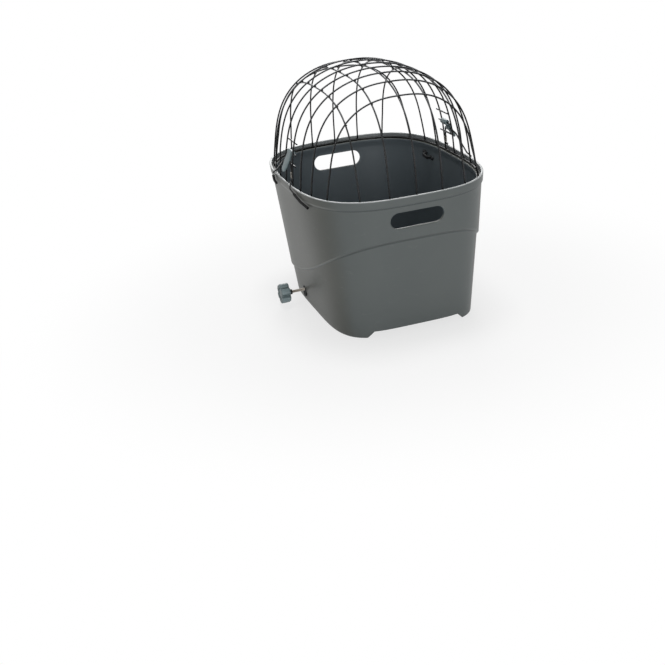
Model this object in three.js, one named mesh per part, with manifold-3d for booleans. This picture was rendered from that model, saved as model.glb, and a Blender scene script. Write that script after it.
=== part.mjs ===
// Dog basket for a bicycle carrier: a moulded tub, a wire dome that lifts off,
// a spring latch at each side and a screw clamp that grips the carrier's tubes.
// Millimetres, +Z up, +Y is the way of travel. The origin is the middle of the
// underside that rests on the carrier, so the tub's feet reach below it.

import * as THREE from "three";
import { mergeVertices } from "three/addons/utils/BufferGeometryUtils.js";
import Module from "manifold-3d";

const wasm = await Module();
wasm.setup();

// Driving sizes of the tub
const tubHeight = 274;
const rimHalfWidth = 180;
const rimHalfLength = 230;
const baseHalfWidth = 147;
const baseHalfLength = 196;
const rimExponent = 3.1;
const baseExponent = 4.35;
const wall = 3;
const channelDepth = 13;
const channelHalfWidth = 84;
const floorUnderside = 25;

// Clearances that neighbours keep
const seatGap = 0.3;
const slideGap = 0.5;
const overrun = 2;
const footLevel = -channelDepth;
const rimTop = tubHeight - channelDepth;
const floorTop = floorUnderside + wall;
const reachX = Math.max(rimHalfWidth, baseHalfWidth) + overrun;
const reachY = Math.max(rimHalfLength, baseHalfLength) + overrun;

const group = new THREE.Group();

const plastic = { color: 0x5b6060, roughness: 0.55, metalness: 0 };
const gripPlastic = { color: 0x6f7f80, roughness: 0.45, metalness: 0 };
const darkPlastic = { color: 0x26292b, roughness: 0.5, metalness: 0 };
const blackWire = { color: 0x24262a, roughness: 0.35, metalness: 0.6 };
const steel = { color: 0x9c9a94, roughness: 0.35, metalness: 0.9 };
const rubber = { color: 0x17181a, roughness: 0.8, metalness: 0 };

function addPiece(name, geometry, look) {
  const mesh = new THREE.Mesh(geometry, new THREE.MeshStandardMaterial(look));
  mesh.name = name;
  group.add(mesh);
  return mesh;
}

// Closed geometry to a solid that can be joined and cut, and back again
function toSolid(geometry) {
  const bare = geometry.clone();
  bare.deleteAttribute("normal");
  bare.deleteAttribute("uv");
  const merged = mergeVertices(bare);
  return new wasm.Manifold(new wasm.Mesh({
    numProp: 3,
    vertProperties: Float32Array.from(merged.attributes.position.array),
    triVerts: Uint32Array.from(merged.index.array),
  }));
}

function toGeometry(solid) {
  const mesh = solid.getMesh();
  const geometry = new THREE.BufferGeometry();
  geometry.setAttribute("position", new THREE.BufferAttribute(mesh.vertProperties, 3));
  geometry.setIndex(new THREE.BufferAttribute(mesh.triVerts, 1));
  geometry.computeVertexNormals();
  return geometry;
}

function fromArrays(positions, faces) {
  const geometry = new THREE.BufferGeometry();
  geometry.setAttribute("position", new THREE.Float32BufferAttribute(positions, 3));
  geometry.setIndex(faces);
  geometry.computeVertexNormals();
  return geometry;
}

// A box between two corners
function block(low, high) {
  const size = high.map((value, axis) => value - low[axis]);
  const geometry = new THREE.BoxGeometry(...size);
  geometry.translate(...low.map((value, axis) => value + size[axis] / 2));
  return geometry;
}

// A flat outline in X and Z, drawn out along Y between two places
function drawnAlongY(points, from, to) {
  const shape = new THREE.Shape(points.map(([x, z]) => new THREE.Vector2(x, z)));
  const geometry = new THREE.ExtrudeGeometry(shape, { depth: to - from, bevelEnabled: false });
  geometry.rotateX(Math.PI / 2);
  geometry.translate(0, to, 0);
  return geometry;
}

// A turned piece: the profile is given as radius and place along X
function turnedAlongX(profile, segments) {
  const points = profile.map(([radius, along]) => new THREE.Vector2(radius, along));
  const geometry = new THREE.LatheGeometry(points, segments);
  geometry.rotateZ(-Math.PI / 2);
  return geometry;
}

function rodAlongX(radius, from, to, segments) {
  const profile = [[0, from], [radius, from], [radius, to], [0, to]];
  return turnedAlongX(profile, segments);
}

function rodAlongY(radius, from, to, segments) {
  const geometry = new THREE.CylinderGeometry(radius, radius, to - from, segments);
  geometry.translate(0, (from + to) / 2, 0);
  return geometry;
}

function rodAlongZ(radius, from, to, segments) {
  const geometry = rodAlongY(radius, from, to, segments);
  geometry.rotateX(Math.PI / 2);
  return geometry;
}

// The radius of a many-sided bore that clears a round piece on every side
function boreRound(radius, sides) {
  return (radius + seatGap) / Math.cos(Math.PI / sides);
}

// A round wire along a curve, as a many-sided section drawn along it
function wireAlong(curve, radius, sides, steps, bore = 0) {
  const round = (size) => Array.from({ length: sides }, (_, i) => {
    const turn = (2 * Math.PI * i) / sides;
    return new THREE.Vector2(size * Math.cos(turn), size * Math.sin(turn));
  });
  const section = new THREE.Shape(round(radius));
  if (bore > 0) section.holes.push(new THREE.Path(round(bore)));
  return new THREE.ExtrudeGeometry(section, { steps, extrudePath: curve, bevelEnabled: false });
}

// The tub's outline at a height: a rounded rectangle with bulged sides
const outlineSteps = 80;

function outlineAt(z, inset) {
  const share = (z - footLevel) / tubHeight;
  return {
    z,
    halfWidth: THREE.MathUtils.lerp(baseHalfWidth, rimHalfWidth, share) - inset,
    halfLength: THREE.MathUtils.lerp(baseHalfLength, rimHalfLength, share) - inset,
    roundness: THREE.MathUtils.lerp(baseExponent, rimExponent, share),
  };
}

function outlinePoint(outline, turn) {
  const across = Math.cos(turn);
  const along = Math.sin(turn);
  const reach = (Math.abs(across) ** outline.roundness + Math.abs(along) ** outline.roundness)
    ** (-1 / outline.roundness);
  return [outline.halfWidth * across * reach, outline.halfLength * along * reach, outline.z];
}

// The half width that the outline has at a place along Y
function halfWidthAt(outline, y) {
  const share = Math.abs(y) / outline.halfLength;
  return outline.halfWidth * (1 - share ** outline.roundness) ** (1 / outline.roundness);
}

function loft(outlines) {
  const positions = [];
  const faces = [];
  for (const outline of outlines) {
    for (let i = 0; i < outlineSteps; i += 1) {
      positions.push(...outlinePoint(outline, (2 * Math.PI * i) / outlineSteps));
    }
  }
  for (let ring = 1; ring < outlines.length; ring += 1) {
    const upper = ring * outlineSteps;
    const lower = upper - outlineSteps;
    for (let i = 0; i < outlineSteps; i += 1) {
      const next = (i + 1) % outlineSteps;
      faces.push(lower + i, lower + next, upper + next);
      faces.push(lower + i, upper + next, upper + i);
    }
  }
  const bottom = positions.length / 3;
  positions.push(0, 0, outlines[0].z);
  positions.push(0, 0, outlines.at(-1).z);
  const top = bottom + 1;
  const lastRing = (outlines.length - 1) * outlineSteps;
  for (let i = 0; i < outlineSteps; i += 1) {
    const next = (i + 1) % outlineSteps;
    faces.push(bottom, next, i);
    faces.push(top, lastRing + i, lastRing + next);
  }
  return toSolid(fromArrays(positions, faces));
}

function evenHeights(from, to, count) {
  return Array.from({ length: count }, (_, i) => THREE.MathUtils.lerp(from, to, i / (count - 1)));
}

// Tub: wall surfaces, measured inwards from the outline
const bandDepth = 16;
const bandStand = 2;
const styleStep = 3;
const ledgeDepth = 10;
const ledgeWidth = 6;
const lipWidth = 3.7;
const lipRound = 2.2;
const bodyInset = bandStand;
const lowerInset = bandStand + styleStep;
const innerInset = lowerInset + wall;
const bandBottom = rimTop - bandDepth;
const ledgeTop = rimTop - ledgeDepth;

// The step round the body falls from the rear wall to the front in an even curve
const styleRearDrop = 74;
const styleRear = rimTop - styleRearDrop;
const styleFront = 37;

function styleHeight(y) {
  const share = (rimHalfLength - y) / (2 * rimHalfLength);
  return styleFront + (styleRear - styleFront) * share ** 2;
}

function aboveStyleLine() {
  const curveSteps = 16;
  const shape = new THREE.Shape();
  shape.moveTo(-reachY, styleHeight(-reachY));
  for (let i = 1; i <= curveSteps; i += 1) {
    const y = THREE.MathUtils.lerp(-reachY, reachY, i / curveSteps);
    shape.lineTo(y, styleHeight(y));
  }
  shape.lineTo(reachY, rimTop);
  shape.lineTo(-reachY, rimTop);
  const geometry = new THREE.ExtrudeGeometry(shape, { depth: 2 * reachX, bevelEnabled: false });
  geometry.rotateX(Math.PI / 2);
  geometry.rotateZ(Math.PI / 2);
  geometry.translate(-reachX, 0, 0);
  return toSolid(geometry);
}

// Handle slots through the end walls
const slotHalfLength = 51;
const slotRadius = 15;
const slotDrop = 44;
const slotHeight = rimTop - slotDrop;

function handleSlots() {
  const straight = slotHalfLength - slotRadius;
  const shape = new THREE.Shape();
  shape.absarc(straight, slotHeight, slotRadius, -Math.PI / 2, Math.PI / 2);
  shape.absarc(-straight, slotHeight, slotRadius, Math.PI / 2, (3 * Math.PI) / 2);
  const geometry = new THREE.ExtrudeGeometry(shape, {
    depth: 2 * reachY,
    bevelEnabled: false,
    curveSegments: 10,
  });
  geometry.rotateX(Math.PI / 2);
  geometry.translate(0, reachY, 0);
  return toSolid(geometry);
}

// Clamp: a screw through the left foot pushes a jaw along X against the carrier's tube
const clampY = 47;
const clampHeight = 14;
const rodRadius = 3;
const jawWidth = 36;
const jawThickness = 8;
const jawRestBack = -79;
const hookLip = 4;
const hookDepth = 2;
const fixedJawFace = 77;
const fixedJawThickness = 6.5;
const flangeRadius = 14;
const flangeThickness = 2.5;
const bushRadius = 6.5;
const bushLength = 10;
const spotFaceDepth = 1.2;
const spotFaceX = spotFaceDepth - halfWidthAt(outlineAt(clampHeight, bandStand + styleStep), clampY);
const bossDepth = 5;
const ribWidth = 5;
const bayRibOffset = jawWidth / 2 + slideGap + ribWidth / 2;
const bayLength = 45;
const rearRibs = 5;
const frontRibs = 3;
const spineWidth = 6;
const footFlare = 13;

function underside() {
  const low = footLevel - overrun;
  const flare = channelHalfWidth + footFlare;
  const slope = footFlare / channelDepth;
  const channel = toSolid(drawnAlongY([
    [-flare - overrun * slope, low],
    [flare + overrun * slope, low],
    [channelHalfWidth, 0],
    [-channelHalfWidth, 0],
  ], -reachY, reachY));
  const hollow = loft([
    outlineAt(low, innerInset),
    outlineAt(floorUnderside, innerInset),
  ]);
  const inner = channelHalfWidth + wall;
  const footSide = [
    [flare + wall + overrun * slope, low],
    [reachX, low],
    [reachX, floorUnderside],
    [inner, floorUnderside],
    [inner, 0],
  ];
  let right = toSolid(drawnAlongY(footSide, -reachY, reachY));
  let left = toSolid(drawnAlongY(footSide.map(([x, z]) => [-x, z]).reverse(), -reachY, reachY));
  let middle = toSolid(block([-channelHalfWidth, -reachY, low], [channelHalfWidth, reachY, floorUnderside]));
  const firstRib = clampY - bayRibOffset;
  const secondRib = clampY + bayRibOffset;
  const ribs = [
    ...Array.from({ length: rearRibs }, (_, i) => firstRib - i * bayLength),
    ...Array.from({ length: frontRibs }, (_, i) => secondRib + i * bayLength),
  ];
  for (const y of ribs) {
    const rib = toSolid(block(
      [-reachX, y - ribWidth / 2, low],
      [reachX, y + ribWidth / 2, floorUnderside],
    ));
    right = right.subtract(rib);
    left = left.subtract(rib);
    middle = middle.subtract(rib);
  }
  const spine = toSolid(block([-spineWidth / 2, -reachY, low], [spineWidth / 2, reachY, floorUnderside]));
  middle = middle.subtract(spine);
  const boss = rodAlongX(flangeRadius + wall, spotFaceX, spotFaceX + bossDepth, 24);
  boss.translate(0, clampY, clampHeight);
  left = left.subtract(toSolid(boss));
  return channel.add(middle.add(left).add(right).intersect(hollow));
}

// Leash anchor inside the right wall, and its two rivets
const anchorY = 105;
const anchorDrop = 23;
const anchorHeight = ledgeTop - anchorDrop;
const anchorHalfLength = 19;
const anchorBreadth = 10;
const anchorPlate = 3;
const anchorRise = 11;
const anchorBridge = 8;
const anchorRamp = 3;
const rivetRadius = 1.6;
const rivetHeadRadius = 3.2;
const rivetHeadDepth = 1.6;
const rivetBite = 3;

// The place and the way out of the inner wall at the anchor
function anchorFrame() {
  const outline = outlineAt(anchorHeight, innerInset);
  const x = halfWidthAt(outline, anchorY);
  const ahead = halfWidthAt(outline, anchorY + anchorHalfLength);
  const behind = halfWidthAt(outline, anchorY - anchorHalfLength);
  const swing = Math.atan2(behind - ahead, 2 * anchorHalfLength);
  return { x, swing };
}

function placeAtAnchor(geometry) {
  const { x, swing } = anchorFrame();
  geometry.rotateZ(swing);
  geometry.translate(x, anchorY, anchorHeight);
  return geometry;
}

function rivetPlaces() {
  const place = (anchorHalfLength + anchorBridge + anchorRamp) / 2;
  return [-place, place];
}

const rivetHeadX = -anchorPlate - wall;

function rivetBores(radius, from) {
  return rivetPlaces().map((place) => {
    const bore = rodAlongX(radius, from, rivetBite, 10);
    bore.translate(0, place, 0);
    return toSolid(placeAtAnchor(bore));
  });
}

// Screws of the fixed jaw come down through the floor
const jawScrewRadius = 2;
const jawScrewHeadRadius = 4.5;
const jawScrewHeadDepth = 2.5;
const jawScrewLength = 14;
const jawScrewShare = 0.28;
const jawScrewX = fixedJawFace + fixedJawThickness / 2;
const jawScrewPlaces = [-jawScrewShare, jawScrewShare].map((share) => clampY + share * jawWidth);

// The room inside the tub, grown inwards by a gap for a piece that lies on its wall
function cavitySolid(gap) {
  return loft([
    ...evenHeights(floorTop, bandBottom, 3).map((z) => outlineAt(z, innerInset + gap)),
    outlineAt(ledgeTop + overrun, lipWidth + ledgeWidth + gap),
  ]);
}

function tubSolid() {
  const lower = loft(evenHeights(footLevel, ledgeTop, 3).map((z) => outlineAt(z, lowerInset)));
  const upperWall = loft(evenHeights(footLevel, ledgeTop, 3).map((z) => outlineAt(z, bodyInset)));
  const upper = upperWall.intersect(aboveStyleLine());
  const band = loft([
    outlineAt(bandBottom, 0),
    outlineAt(rimTop - lipRound, 0),
    outlineAt(rimTop - lipRound / 3, lipRound / 3),
    outlineAt(rimTop, lipRound),
  ]);
  const cavity = cavitySolid(0);
  const mouth = loft([
    outlineAt(ledgeTop, lipWidth),
    outlineAt(rimTop - lipRound / 2, lipWidth),
    outlineAt(rimTop + overrun, lipWidth - lipRound / 2),
  ]);
  const spotFace = rodAlongX(flangeRadius + slideGap, -reachX, spotFaceX, 24);
  spotFace.translate(0, clampY, clampHeight);
  const bushHole = rodAlongX(boreRound(bushRadius, 20), -reachX, spotFaceX + bossDepth + overrun, 20);
  bushHole.translate(0, clampY, clampHeight);
  const rodHole = rodAlongX(rodRadius + slideGap, -reachX, -channelHalfWidth + overrun, 12);
  rodHole.translate(0, clampY, clampHeight);
  let tub = lower.add(upper).add(band);
  tub = tub.subtract(cavity).subtract(mouth).subtract(handleSlots()).subtract(underside());
  tub = tub.subtract(toSolid(spotFace)).subtract(toSolid(bushHole)).subtract(toSolid(rodHole));
  for (const bore of rivetBores(boreRound(rivetRadius, 10), -wall)) tub = tub.subtract(bore);
  for (const y of jawScrewPlaces) {
    const hole = rodAlongZ(boreRound(jawScrewRadius, 10), 0, floorTop + overrun, 10);
    hole.translate(jawScrewX, y, 0);
    tub = tub.subtract(toSolid(hole));
  }
  return tub;
}

addPiece("basket_tub", toGeometry(tubSolid()), plastic);

// The anchor's back follows the wall, one gap away from it
function leashAnchor() {
  const inner = anchorRise - anchorPlate;
  const points = [
    [wall, -anchorHalfLength],
    [wall, anchorHalfLength],
    [-anchorPlate, anchorHalfLength],
    [-anchorPlate, anchorBridge + anchorRamp],
    [-anchorRise, anchorBridge],
    [-anchorRise, -anchorBridge],
    [-anchorPlate, -anchorBridge - anchorRamp],
    [-anchorPlate, -anchorHalfLength],
  ];
  const outer = new THREE.Shape(points.map(([x, y]) => new THREE.Vector2(x, y)));
  const strap = new THREE.ExtrudeGeometry(outer, { depth: anchorBreadth, bevelEnabled: false });
  strap.translate(0, 0, -anchorBreadth / 2);
  const gap = block(
    [-inner, -anchorBridge + anchorRamp / 2, -anchorBreadth],
    [wall + overrun, anchorBridge - anchorRamp / 2, anchorBreadth],
  );
  let solid = toSolid(placeAtAnchor(strap)).intersect(cavitySolid(seatGap)).subtract(toSolid(placeAtAnchor(gap)));
  for (const bore of rivetBores(boreRound(rivetRadius, 10), rivetHeadX)) solid = solid.subtract(bore);
  return toGeometry(solid);
}

addPiece("leash_anchor", leashAnchor(), darkPlastic);

function addAnchorRivets() {
  const headBack = -anchorPlate - seatGap;
  const profile = [
    [0, headBack - rivetHeadDepth],
    [rivetHeadRadius * 0.6, headBack - rivetHeadDepth],
    [rivetHeadRadius, headBack - rivetHeadDepth / 3],
    [rivetHeadRadius, headBack],
    [rivetRadius, headBack],
    [rivetRadius, rivetBite - seatGap],
    [0, rivetBite - seatGap],
  ];
  rivetPlaces().forEach((place, i) => {
    const rivet = turnedAlongX(profile, 10);
    rivet.translate(0, place, 0);
    addPiece(`anchor_rivet_${i + 1}`, placeAtAnchor(rivet), steel);
  });
}

addAnchorRivets();

// Threaded bush that the clamp screw runs in, seated in the left foot
function threadBush() {
  const flangeBack = spotFaceX - seatGap;
  const bore = boreRound(rodRadius, 24);
  const bush = turnedAlongX([
    [bore, flangeBack - flangeThickness],
    [flangeRadius - seatGap, flangeBack - flangeThickness],
    [flangeRadius, flangeBack - flangeThickness + seatGap],
    [flangeRadius, flangeBack],
    [bushRadius, flangeBack],
    [bushRadius, flangeBack + bushLength],
    [bore, flangeBack + bushLength],
    [bore, flangeBack - flangeThickness],
  ], 24);
  bush.translate(0, clampY, clampHeight);
  return bush;
}

addPiece("thread_bush", threadBush(), darkPlastic);

// Screw rod with its collar behind the jaw
const knobStandOff = 29;
const nutLength = 5;
const nutRadius = 5.2;
const knobRadius = 20;
const knobLength = 19.5;
const knobLobes = 6;
const knobLobeDepth = 2.4;
const knobBevel = 2;
const knobSocket = 13;
const collarLength = 3;
const collarRadius = 5;
const clipLength = 1.2;
const clipRadius = 5.5;
const rodTip = 2;
const collarFrom = jawRestBack - seatGap - collarLength;
const jawFront = jawRestBack + jawThickness;
const rodEnd = jawFront + seatGap + clipLength + rodTip;
const nutFrom = spotFaceX - knobStandOff - nutLength;
const knobFront = nutFrom - seatGap;

function clampRod() {
  const rodStart = knobFront - knobSocket + seatGap;
  const rod = turnedAlongX([
    [0, rodStart],
    [rodRadius, rodStart],
    [rodRadius, collarFrom],
    [collarRadius, collarFrom],
    [collarRadius, collarFrom + collarLength],
    [rodRadius, collarFrom + collarLength],
    [rodRadius, rodEnd - rodTip / 2],
    [rodRadius - rodTip / 2, rodEnd],
    [0, rodEnd],
  ], 16);
  rod.translate(0, clampY, clampHeight);
  return rod;
}

addPiece("clamp_rod", clampRod(), steel);

function ringOnRod(outer, from, length, sides) {
  const body = toSolid(rodAlongX(outer, from, from + length, sides));
  const bore = toSolid(rodAlongX(boreRound(rodRadius, 16), from - overrun, from + length + overrun, 16));
  const ring = toGeometry(body.subtract(bore));
  ring.translate(0, clampY, clampHeight);
  return ring;
}

addPiece("lock_nut", ringOnRod(nutRadius, nutFrom, nutLength, 6), darkPlastic);
addPiece("rod_clip", ringOnRod(clipRadius, jawFront + seatGap, clipLength, 16), steel);

// Lobed hand knob with a blind socket for the rod
function clampKnob() {
  const outlineCount = 48;
  const mean = knobRadius - knobLobeDepth / 2 - knobBevel;
  const points = Array.from({ length: outlineCount }, (_, i) => {
    const turn = (2 * Math.PI * i) / outlineCount;
    const radius = mean + (knobLobeDepth / 2) * Math.cos(knobLobes * turn);
    return new THREE.Vector2(radius * Math.cos(turn), radius * Math.sin(turn));
  });
  const body = new THREE.ExtrudeGeometry(new THREE.Shape(points), {
    depth: knobLength - 2 * knobBevel,
    bevelThickness: knobBevel,
    bevelSize: knobBevel,
    bevelSegments: 2,
  });
  body.rotateY(-Math.PI / 2);
  body.translate(knobFront - knobBevel, 0, 0);
  const socket = rodAlongX(boreRound(rodRadius, 16), knobFront - knobSocket, knobFront + overrun, 16);
  const knob = toGeometry(toSolid(body).subtract(toSolid(socket)));
  knob.translate(0, clampY, clampHeight);
  return knob;
}

addPiece("clamp_knob", clampKnob(), gripPlastic);

// Jaws: a plate with a lip that reaches under the carrier's tube
const jawTop = floorUnderside - slideGap;
const jawBottom = footLevel + slideGap;

function jawOutline(back, front, reach) {
  return [
    [back, jawBottom],
    [reach, jawBottom],
    [reach, jawBottom + hookDepth],
    [front, jawBottom + hookDepth + hookLip],
    [front, jawTop],
    [back, jawTop],
  ];
}

function movingJaw() {
  const from = clampY - jawWidth / 2;
  const to = clampY + jawWidth / 2;
  const plate = drawnAlongY(jawOutline(jawRestBack, jawFront, jawFront + hookLip), from, to);
  const hole = rodAlongX(boreRound(rodRadius, 16), jawRestBack - overrun, jawFront + overrun, 16);
  hole.translate(0, clampY, clampHeight);
  return toGeometry(toSolid(plate).subtract(toSolid(hole)));
}

addPiece("moving_jaw", movingJaw(), darkPlastic);

function fixedJaw() {
  const from = clampY - jawWidth / 2;
  const to = clampY + jawWidth / 2;
  const back = fixedJawFace + fixedJawThickness;
  const outline = jawOutline(back, fixedJawFace, fixedJawFace - hookLip).reverse();
  outline.forEach((point) => {
    if (point[1] === jawTop) point[1] = floorUnderside - seatGap;
  });
  let plate = toSolid(drawnAlongY(outline, from, to));
  for (const y of jawScrewPlaces) {
    const hole = rodAlongZ(boreRound(jawScrewRadius, 10), floorTop - jawScrewLength - seatGap, floorTop, 10);
    hole.translate(jawScrewX, y, 0);
    plate = plate.subtract(toSolid(hole));
  }
  return toGeometry(plate);
}

addPiece("fixed_jaw", fixedJaw(), darkPlastic);

function addJawScrews() {
  const headBase = floorTop + seatGap;
  jawScrewPlaces.forEach((y, i) => {
    const head = rodAlongZ(jawScrewHeadRadius, headBase, headBase + jawScrewHeadDepth, 12);
    const shank = rodAlongZ(jawScrewRadius, floorTop - jawScrewLength, headBase + seatGap, 10);
    head.translate(jawScrewX, y, 0);
    shank.translate(jawScrewX, y, 0);
    addPiece(`jaw_screw_${i + 1}`, toGeometry(toSolid(head).add(toSolid(shank))), steel);
  });
}

addJawScrews();

// Dome: five wires run lengthwise and nine run across over them, welded to a ring
const wireRadius = 1.5;
const ringRadius = 2;
const domeRise = 188;
const domeTop = rimTop + domeRise;
const middleRise = 46;
const middleHeight = rimTop + middleRise;
const footExponent = 2.95;
const domeExponent = 2.6;
const widthLeanShare = 0.141;
const widthRiseExponent = 4.1;
const widthBulgeExponent = 2.04;
const lengthLeanShare = 0.022;
const lengthRiseExponent = 3.14;
const lengthBulgeExponent = 2.82;
const ringInset = lipWidth + seatGap + ringRadius;
const ringHeight = ledgeTop + seatGap + ringRadius;
const wireFoot = ringHeight + ringRadius + wireRadius / 2;
const crossGap = 0.5;
const lengthwiseShare = 0.278;
const lengthwiseSpacing = lengthwiseShare * rimHalfWidth;
const lengthwiseCount = 5;
const acrossShare = 0.176;
const acrossSpacing = acrossShare * rimHalfLength;
const acrossCount = 9;
const wireSides = 6;
const legSteps = 2;
const archSteps = 24;
const acrossGrowth = 2 * wireRadius + crossGap;

// The outline of the ring, a little rounder than the rim
function ringOutline() {
  return { ...outlineAt(ringHeight, ringInset), roundness: footExponent };
}

// The dome's outline at a height, with the growth that lays one wire over another
function domeOutline(z, growth) {
  const foot = ringOutline();
  const climb = Math.max(z - wireFoot, 0);
  const legShare = Math.min(climb / (middleHeight - wireFoot), 1);
  const rise = Math.min(climb / (domeTop + growth - wireFoot), 1);
  const spread = growth * legShare;
  return {
    halfWidth: (foot.halfWidth + spread - widthLeanShare * climb) * (1 - rise ** widthRiseExponent) ** (1 / widthBulgeExponent),
    halfLength: (foot.halfLength + spread - lengthLeanShare * climb)
      * (1 - rise ** lengthRiseExponent) ** (1 / lengthBulgeExponent),
    roundness: THREE.MathUtils.lerp(foot.roundness, domeExponent, legShare),
  };
}

function isInsideDome(x, y, z, growth) {
  if (z >= domeTop + growth) return false;
  const { halfWidth, halfLength, roundness } = domeOutline(z, growth);
  return (Math.abs(x) / halfWidth) ** roundness + (Math.abs(y) / halfLength) ** roundness < 1;
}

// How far the dome reaches from its middle height, along a ray that tilts up by an angle
function domeReach(isInside) {
  let near = 0;
  let far = reachY + domeTop;
  const halvings = 40;
  for (let i = 0; i < halvings; i += 1) {
    const middle = (near + far) / 2;
    if (isInside(middle)) near = middle;
    else far = middle;
  }
  return near;
}

// One arch as points (across, height), from foot to foot
function archPoints(isInside) {
  const half = [];
  for (let i = 0; i < legSteps; i += 1) {
    const z = THREE.MathUtils.lerp(wireFoot, middleHeight, i / legSteps);
    half.push([domeReach((reach) => isInside(reach, z)), z]);
  }
  for (let i = 0; i <= archSteps / 2; i += 1) {
    const tilt = (Math.PI / 2) * (i / (archSteps / 2));
    const reach = domeReach((r) => isInside(r * Math.cos(tilt), middleHeight + r * Math.sin(tilt)));
    half.push([reach * Math.cos(tilt), middleHeight + reach * Math.sin(tilt)]);
  }
  const other = half.slice(0, -1).reverse().map(([across, z]) => [-across, z]);
  return [...half, ...other];
}

function centred(count, spacing) {
  return Array.from({ length: count }, (_, i) => (i - (count - 1) / 2) * spacing);
}

// A chain of straight runs whose mitred joints stand on the points themselves
class Chain extends THREE.Curve {
  constructor(points) {
    super();
    this.points = points;
  }

  getPoint(t, target = new THREE.Vector3()) {
    const place = t * (this.points.length - 1);
    const index = Math.min(Math.floor(place), this.points.length - 2);
    return target.lerpVectors(this.points[index], this.points[index + 1], place - index);
  }

  getPointAt(t, target) {
    return this.getPoint(t, target);
  }

  getTangentAt(t, target = new THREE.Vector3()) {
    const place = Math.round(t * (this.points.length - 1));
    const here = this.points[place];
    target.set(0, 0, 0);
    for (const step of [-1, 1]) {
      const other = this.points[place + step];
      if (other) target.addScaledVector(other.clone().sub(here).normalize(), step);
    }
    return target.normalize();
  }
}

function domeWire(points) {
  return wireAlong(new Chain(points), wireRadius, wireSides, points.length - 1);
}

centred(lengthwiseCount, lengthwiseSpacing).forEach((x, i) => {
  const arch = archPoints((y, z) => isInsideDome(x, y, z, 0));
  const points = arch.map(([y, z]) => new THREE.Vector3(x, y, z));
  addPiece(`long_wire_${i + 1}`, domeWire(points), blackWire);
});

centred(acrossCount, acrossSpacing).forEach((y, i) => {
  const arch = archPoints((x, z) => isInsideDome(x, y, z, acrossGrowth));
  const points = arch.map(([x, z]) => new THREE.Vector3(x, y, z));
  addPiece(`cross_wire_${i + 1}`, domeWire(points), blackWire);
});

// Ring that lies on the tub's ledge
function domeRing() {
  const centre = ringOutline();
  const positions = [];
  const faces = [];
  const ringSteps = 72;
  for (let i = 0; i < ringSteps; i += 1) {
    const turn = (2 * Math.PI * i) / ringSteps;
    const [x, y] = outlinePoint(centre, turn);
    const [aheadX, aheadY] = outlinePoint(centre, turn + Math.PI / ringSteps);
    const [behindX, behindY] = outlinePoint(centre, turn - Math.PI / ringSteps);
    const out = new THREE.Vector2(aheadY - behindY, behindX - aheadX).normalize();
    for (let side = 0; side < wireSides; side += 1) {
      const angle = (2 * Math.PI * (side + 1 / 2)) / wireSides;
      const reach = ringRadius * Math.cos(angle);
      positions.push(x + reach * out.x, y + reach * out.y, ringHeight + ringRadius * Math.sin(angle));
    }
  }
  for (let i = 0; i < ringSteps; i += 1) {
    const here = i * wireSides;
    const ahead = ((i + 1) % ringSteps) * wireSides;
    for (let side = 0; side < wireSides; side += 1) {
      const next = (side + 1) % wireSides;
      faces.push(here + side, ahead + side, ahead + next);
      faces.push(here + side, ahead + next, here + next);
    }
  }
  return fromArrays(positions, faces);
}

addPiece("dome_ring", domeRing(), blackWire);

// Latches: each one turns on the middle one of three short rungs between two cross wires
const pivotRise = 54;
const pivotHeight = rimTop + pivotRise;
const rungSpacing = 20.7;
const rungOverhang = 6;
const leverDrop = 38;
const leverLean = THREE.MathUtils.degToRad(27);
const leverRoom = 17.48;
const leverShift = 1.24;
const leverWidth = acrossSpacing - leverRoom;
const leverY = leverShift - acrossSpacing / 2;
const leverEndWidth = 15;
const leverThickness = 3.5;
const hubRadius = 5;
const lugInset = 3;
const lugRadius = 3.4;
const barDrop = 14;
const bailWire = 1.5;
const sleeveRadius = 3;
const springWire = 0.5;
const springCurls = 11;
const springMean = bailWire + seatGap + springWire;
const railGap = 6.98;
const railY = railGap - acrossSpacing;
const barEndY = -5;
const nearCrossing = 54;
const farCrossing = 59;
const nearTip = 121;
const nearTipDrop = 24;
const farTip = 52;
const farTipDrop = 21;

function crossWireX(z, y) {
  return halfWidthAt(domeOutline(z, acrossGrowth), y);
}

const rungHeights = [-1, 0, 1].map((step) => pivotHeight + step * rungSpacing);
const rungGap = 2 * wireRadius + slideGap;
const rungX = rungHeights.map((z) => crossWireX(z, acrossSpacing) - rungGap);
const pivotX = rungX[1];
const barX = pivotX + barDrop * Math.tan(leverLean);
const barHeight = pivotHeight - barDrop;

// Every latch piece is made for the left side and turned half round for the right
const sides = [["left", 0], ["right", Math.PI]];

function addPair(name, make, look) {
  for (const [side, turn] of sides) {
    const geometry = make();
    geometry.rotateZ(turn);
    addPiece(`${name}_${side}`, geometry, look);
  }
}

rungHeights.forEach((z, i) => {
  const level = ["low", "middle", "high"][i];
  addPair(`rung_${level}`, () => {
    const rung = rodAlongY(wireRadius, -acrossSpacing - rungOverhang, rungOverhang, 8);
    rung.translate(-rungX[i], 0, z);
    return rung;
  }, blackWire);
});

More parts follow.
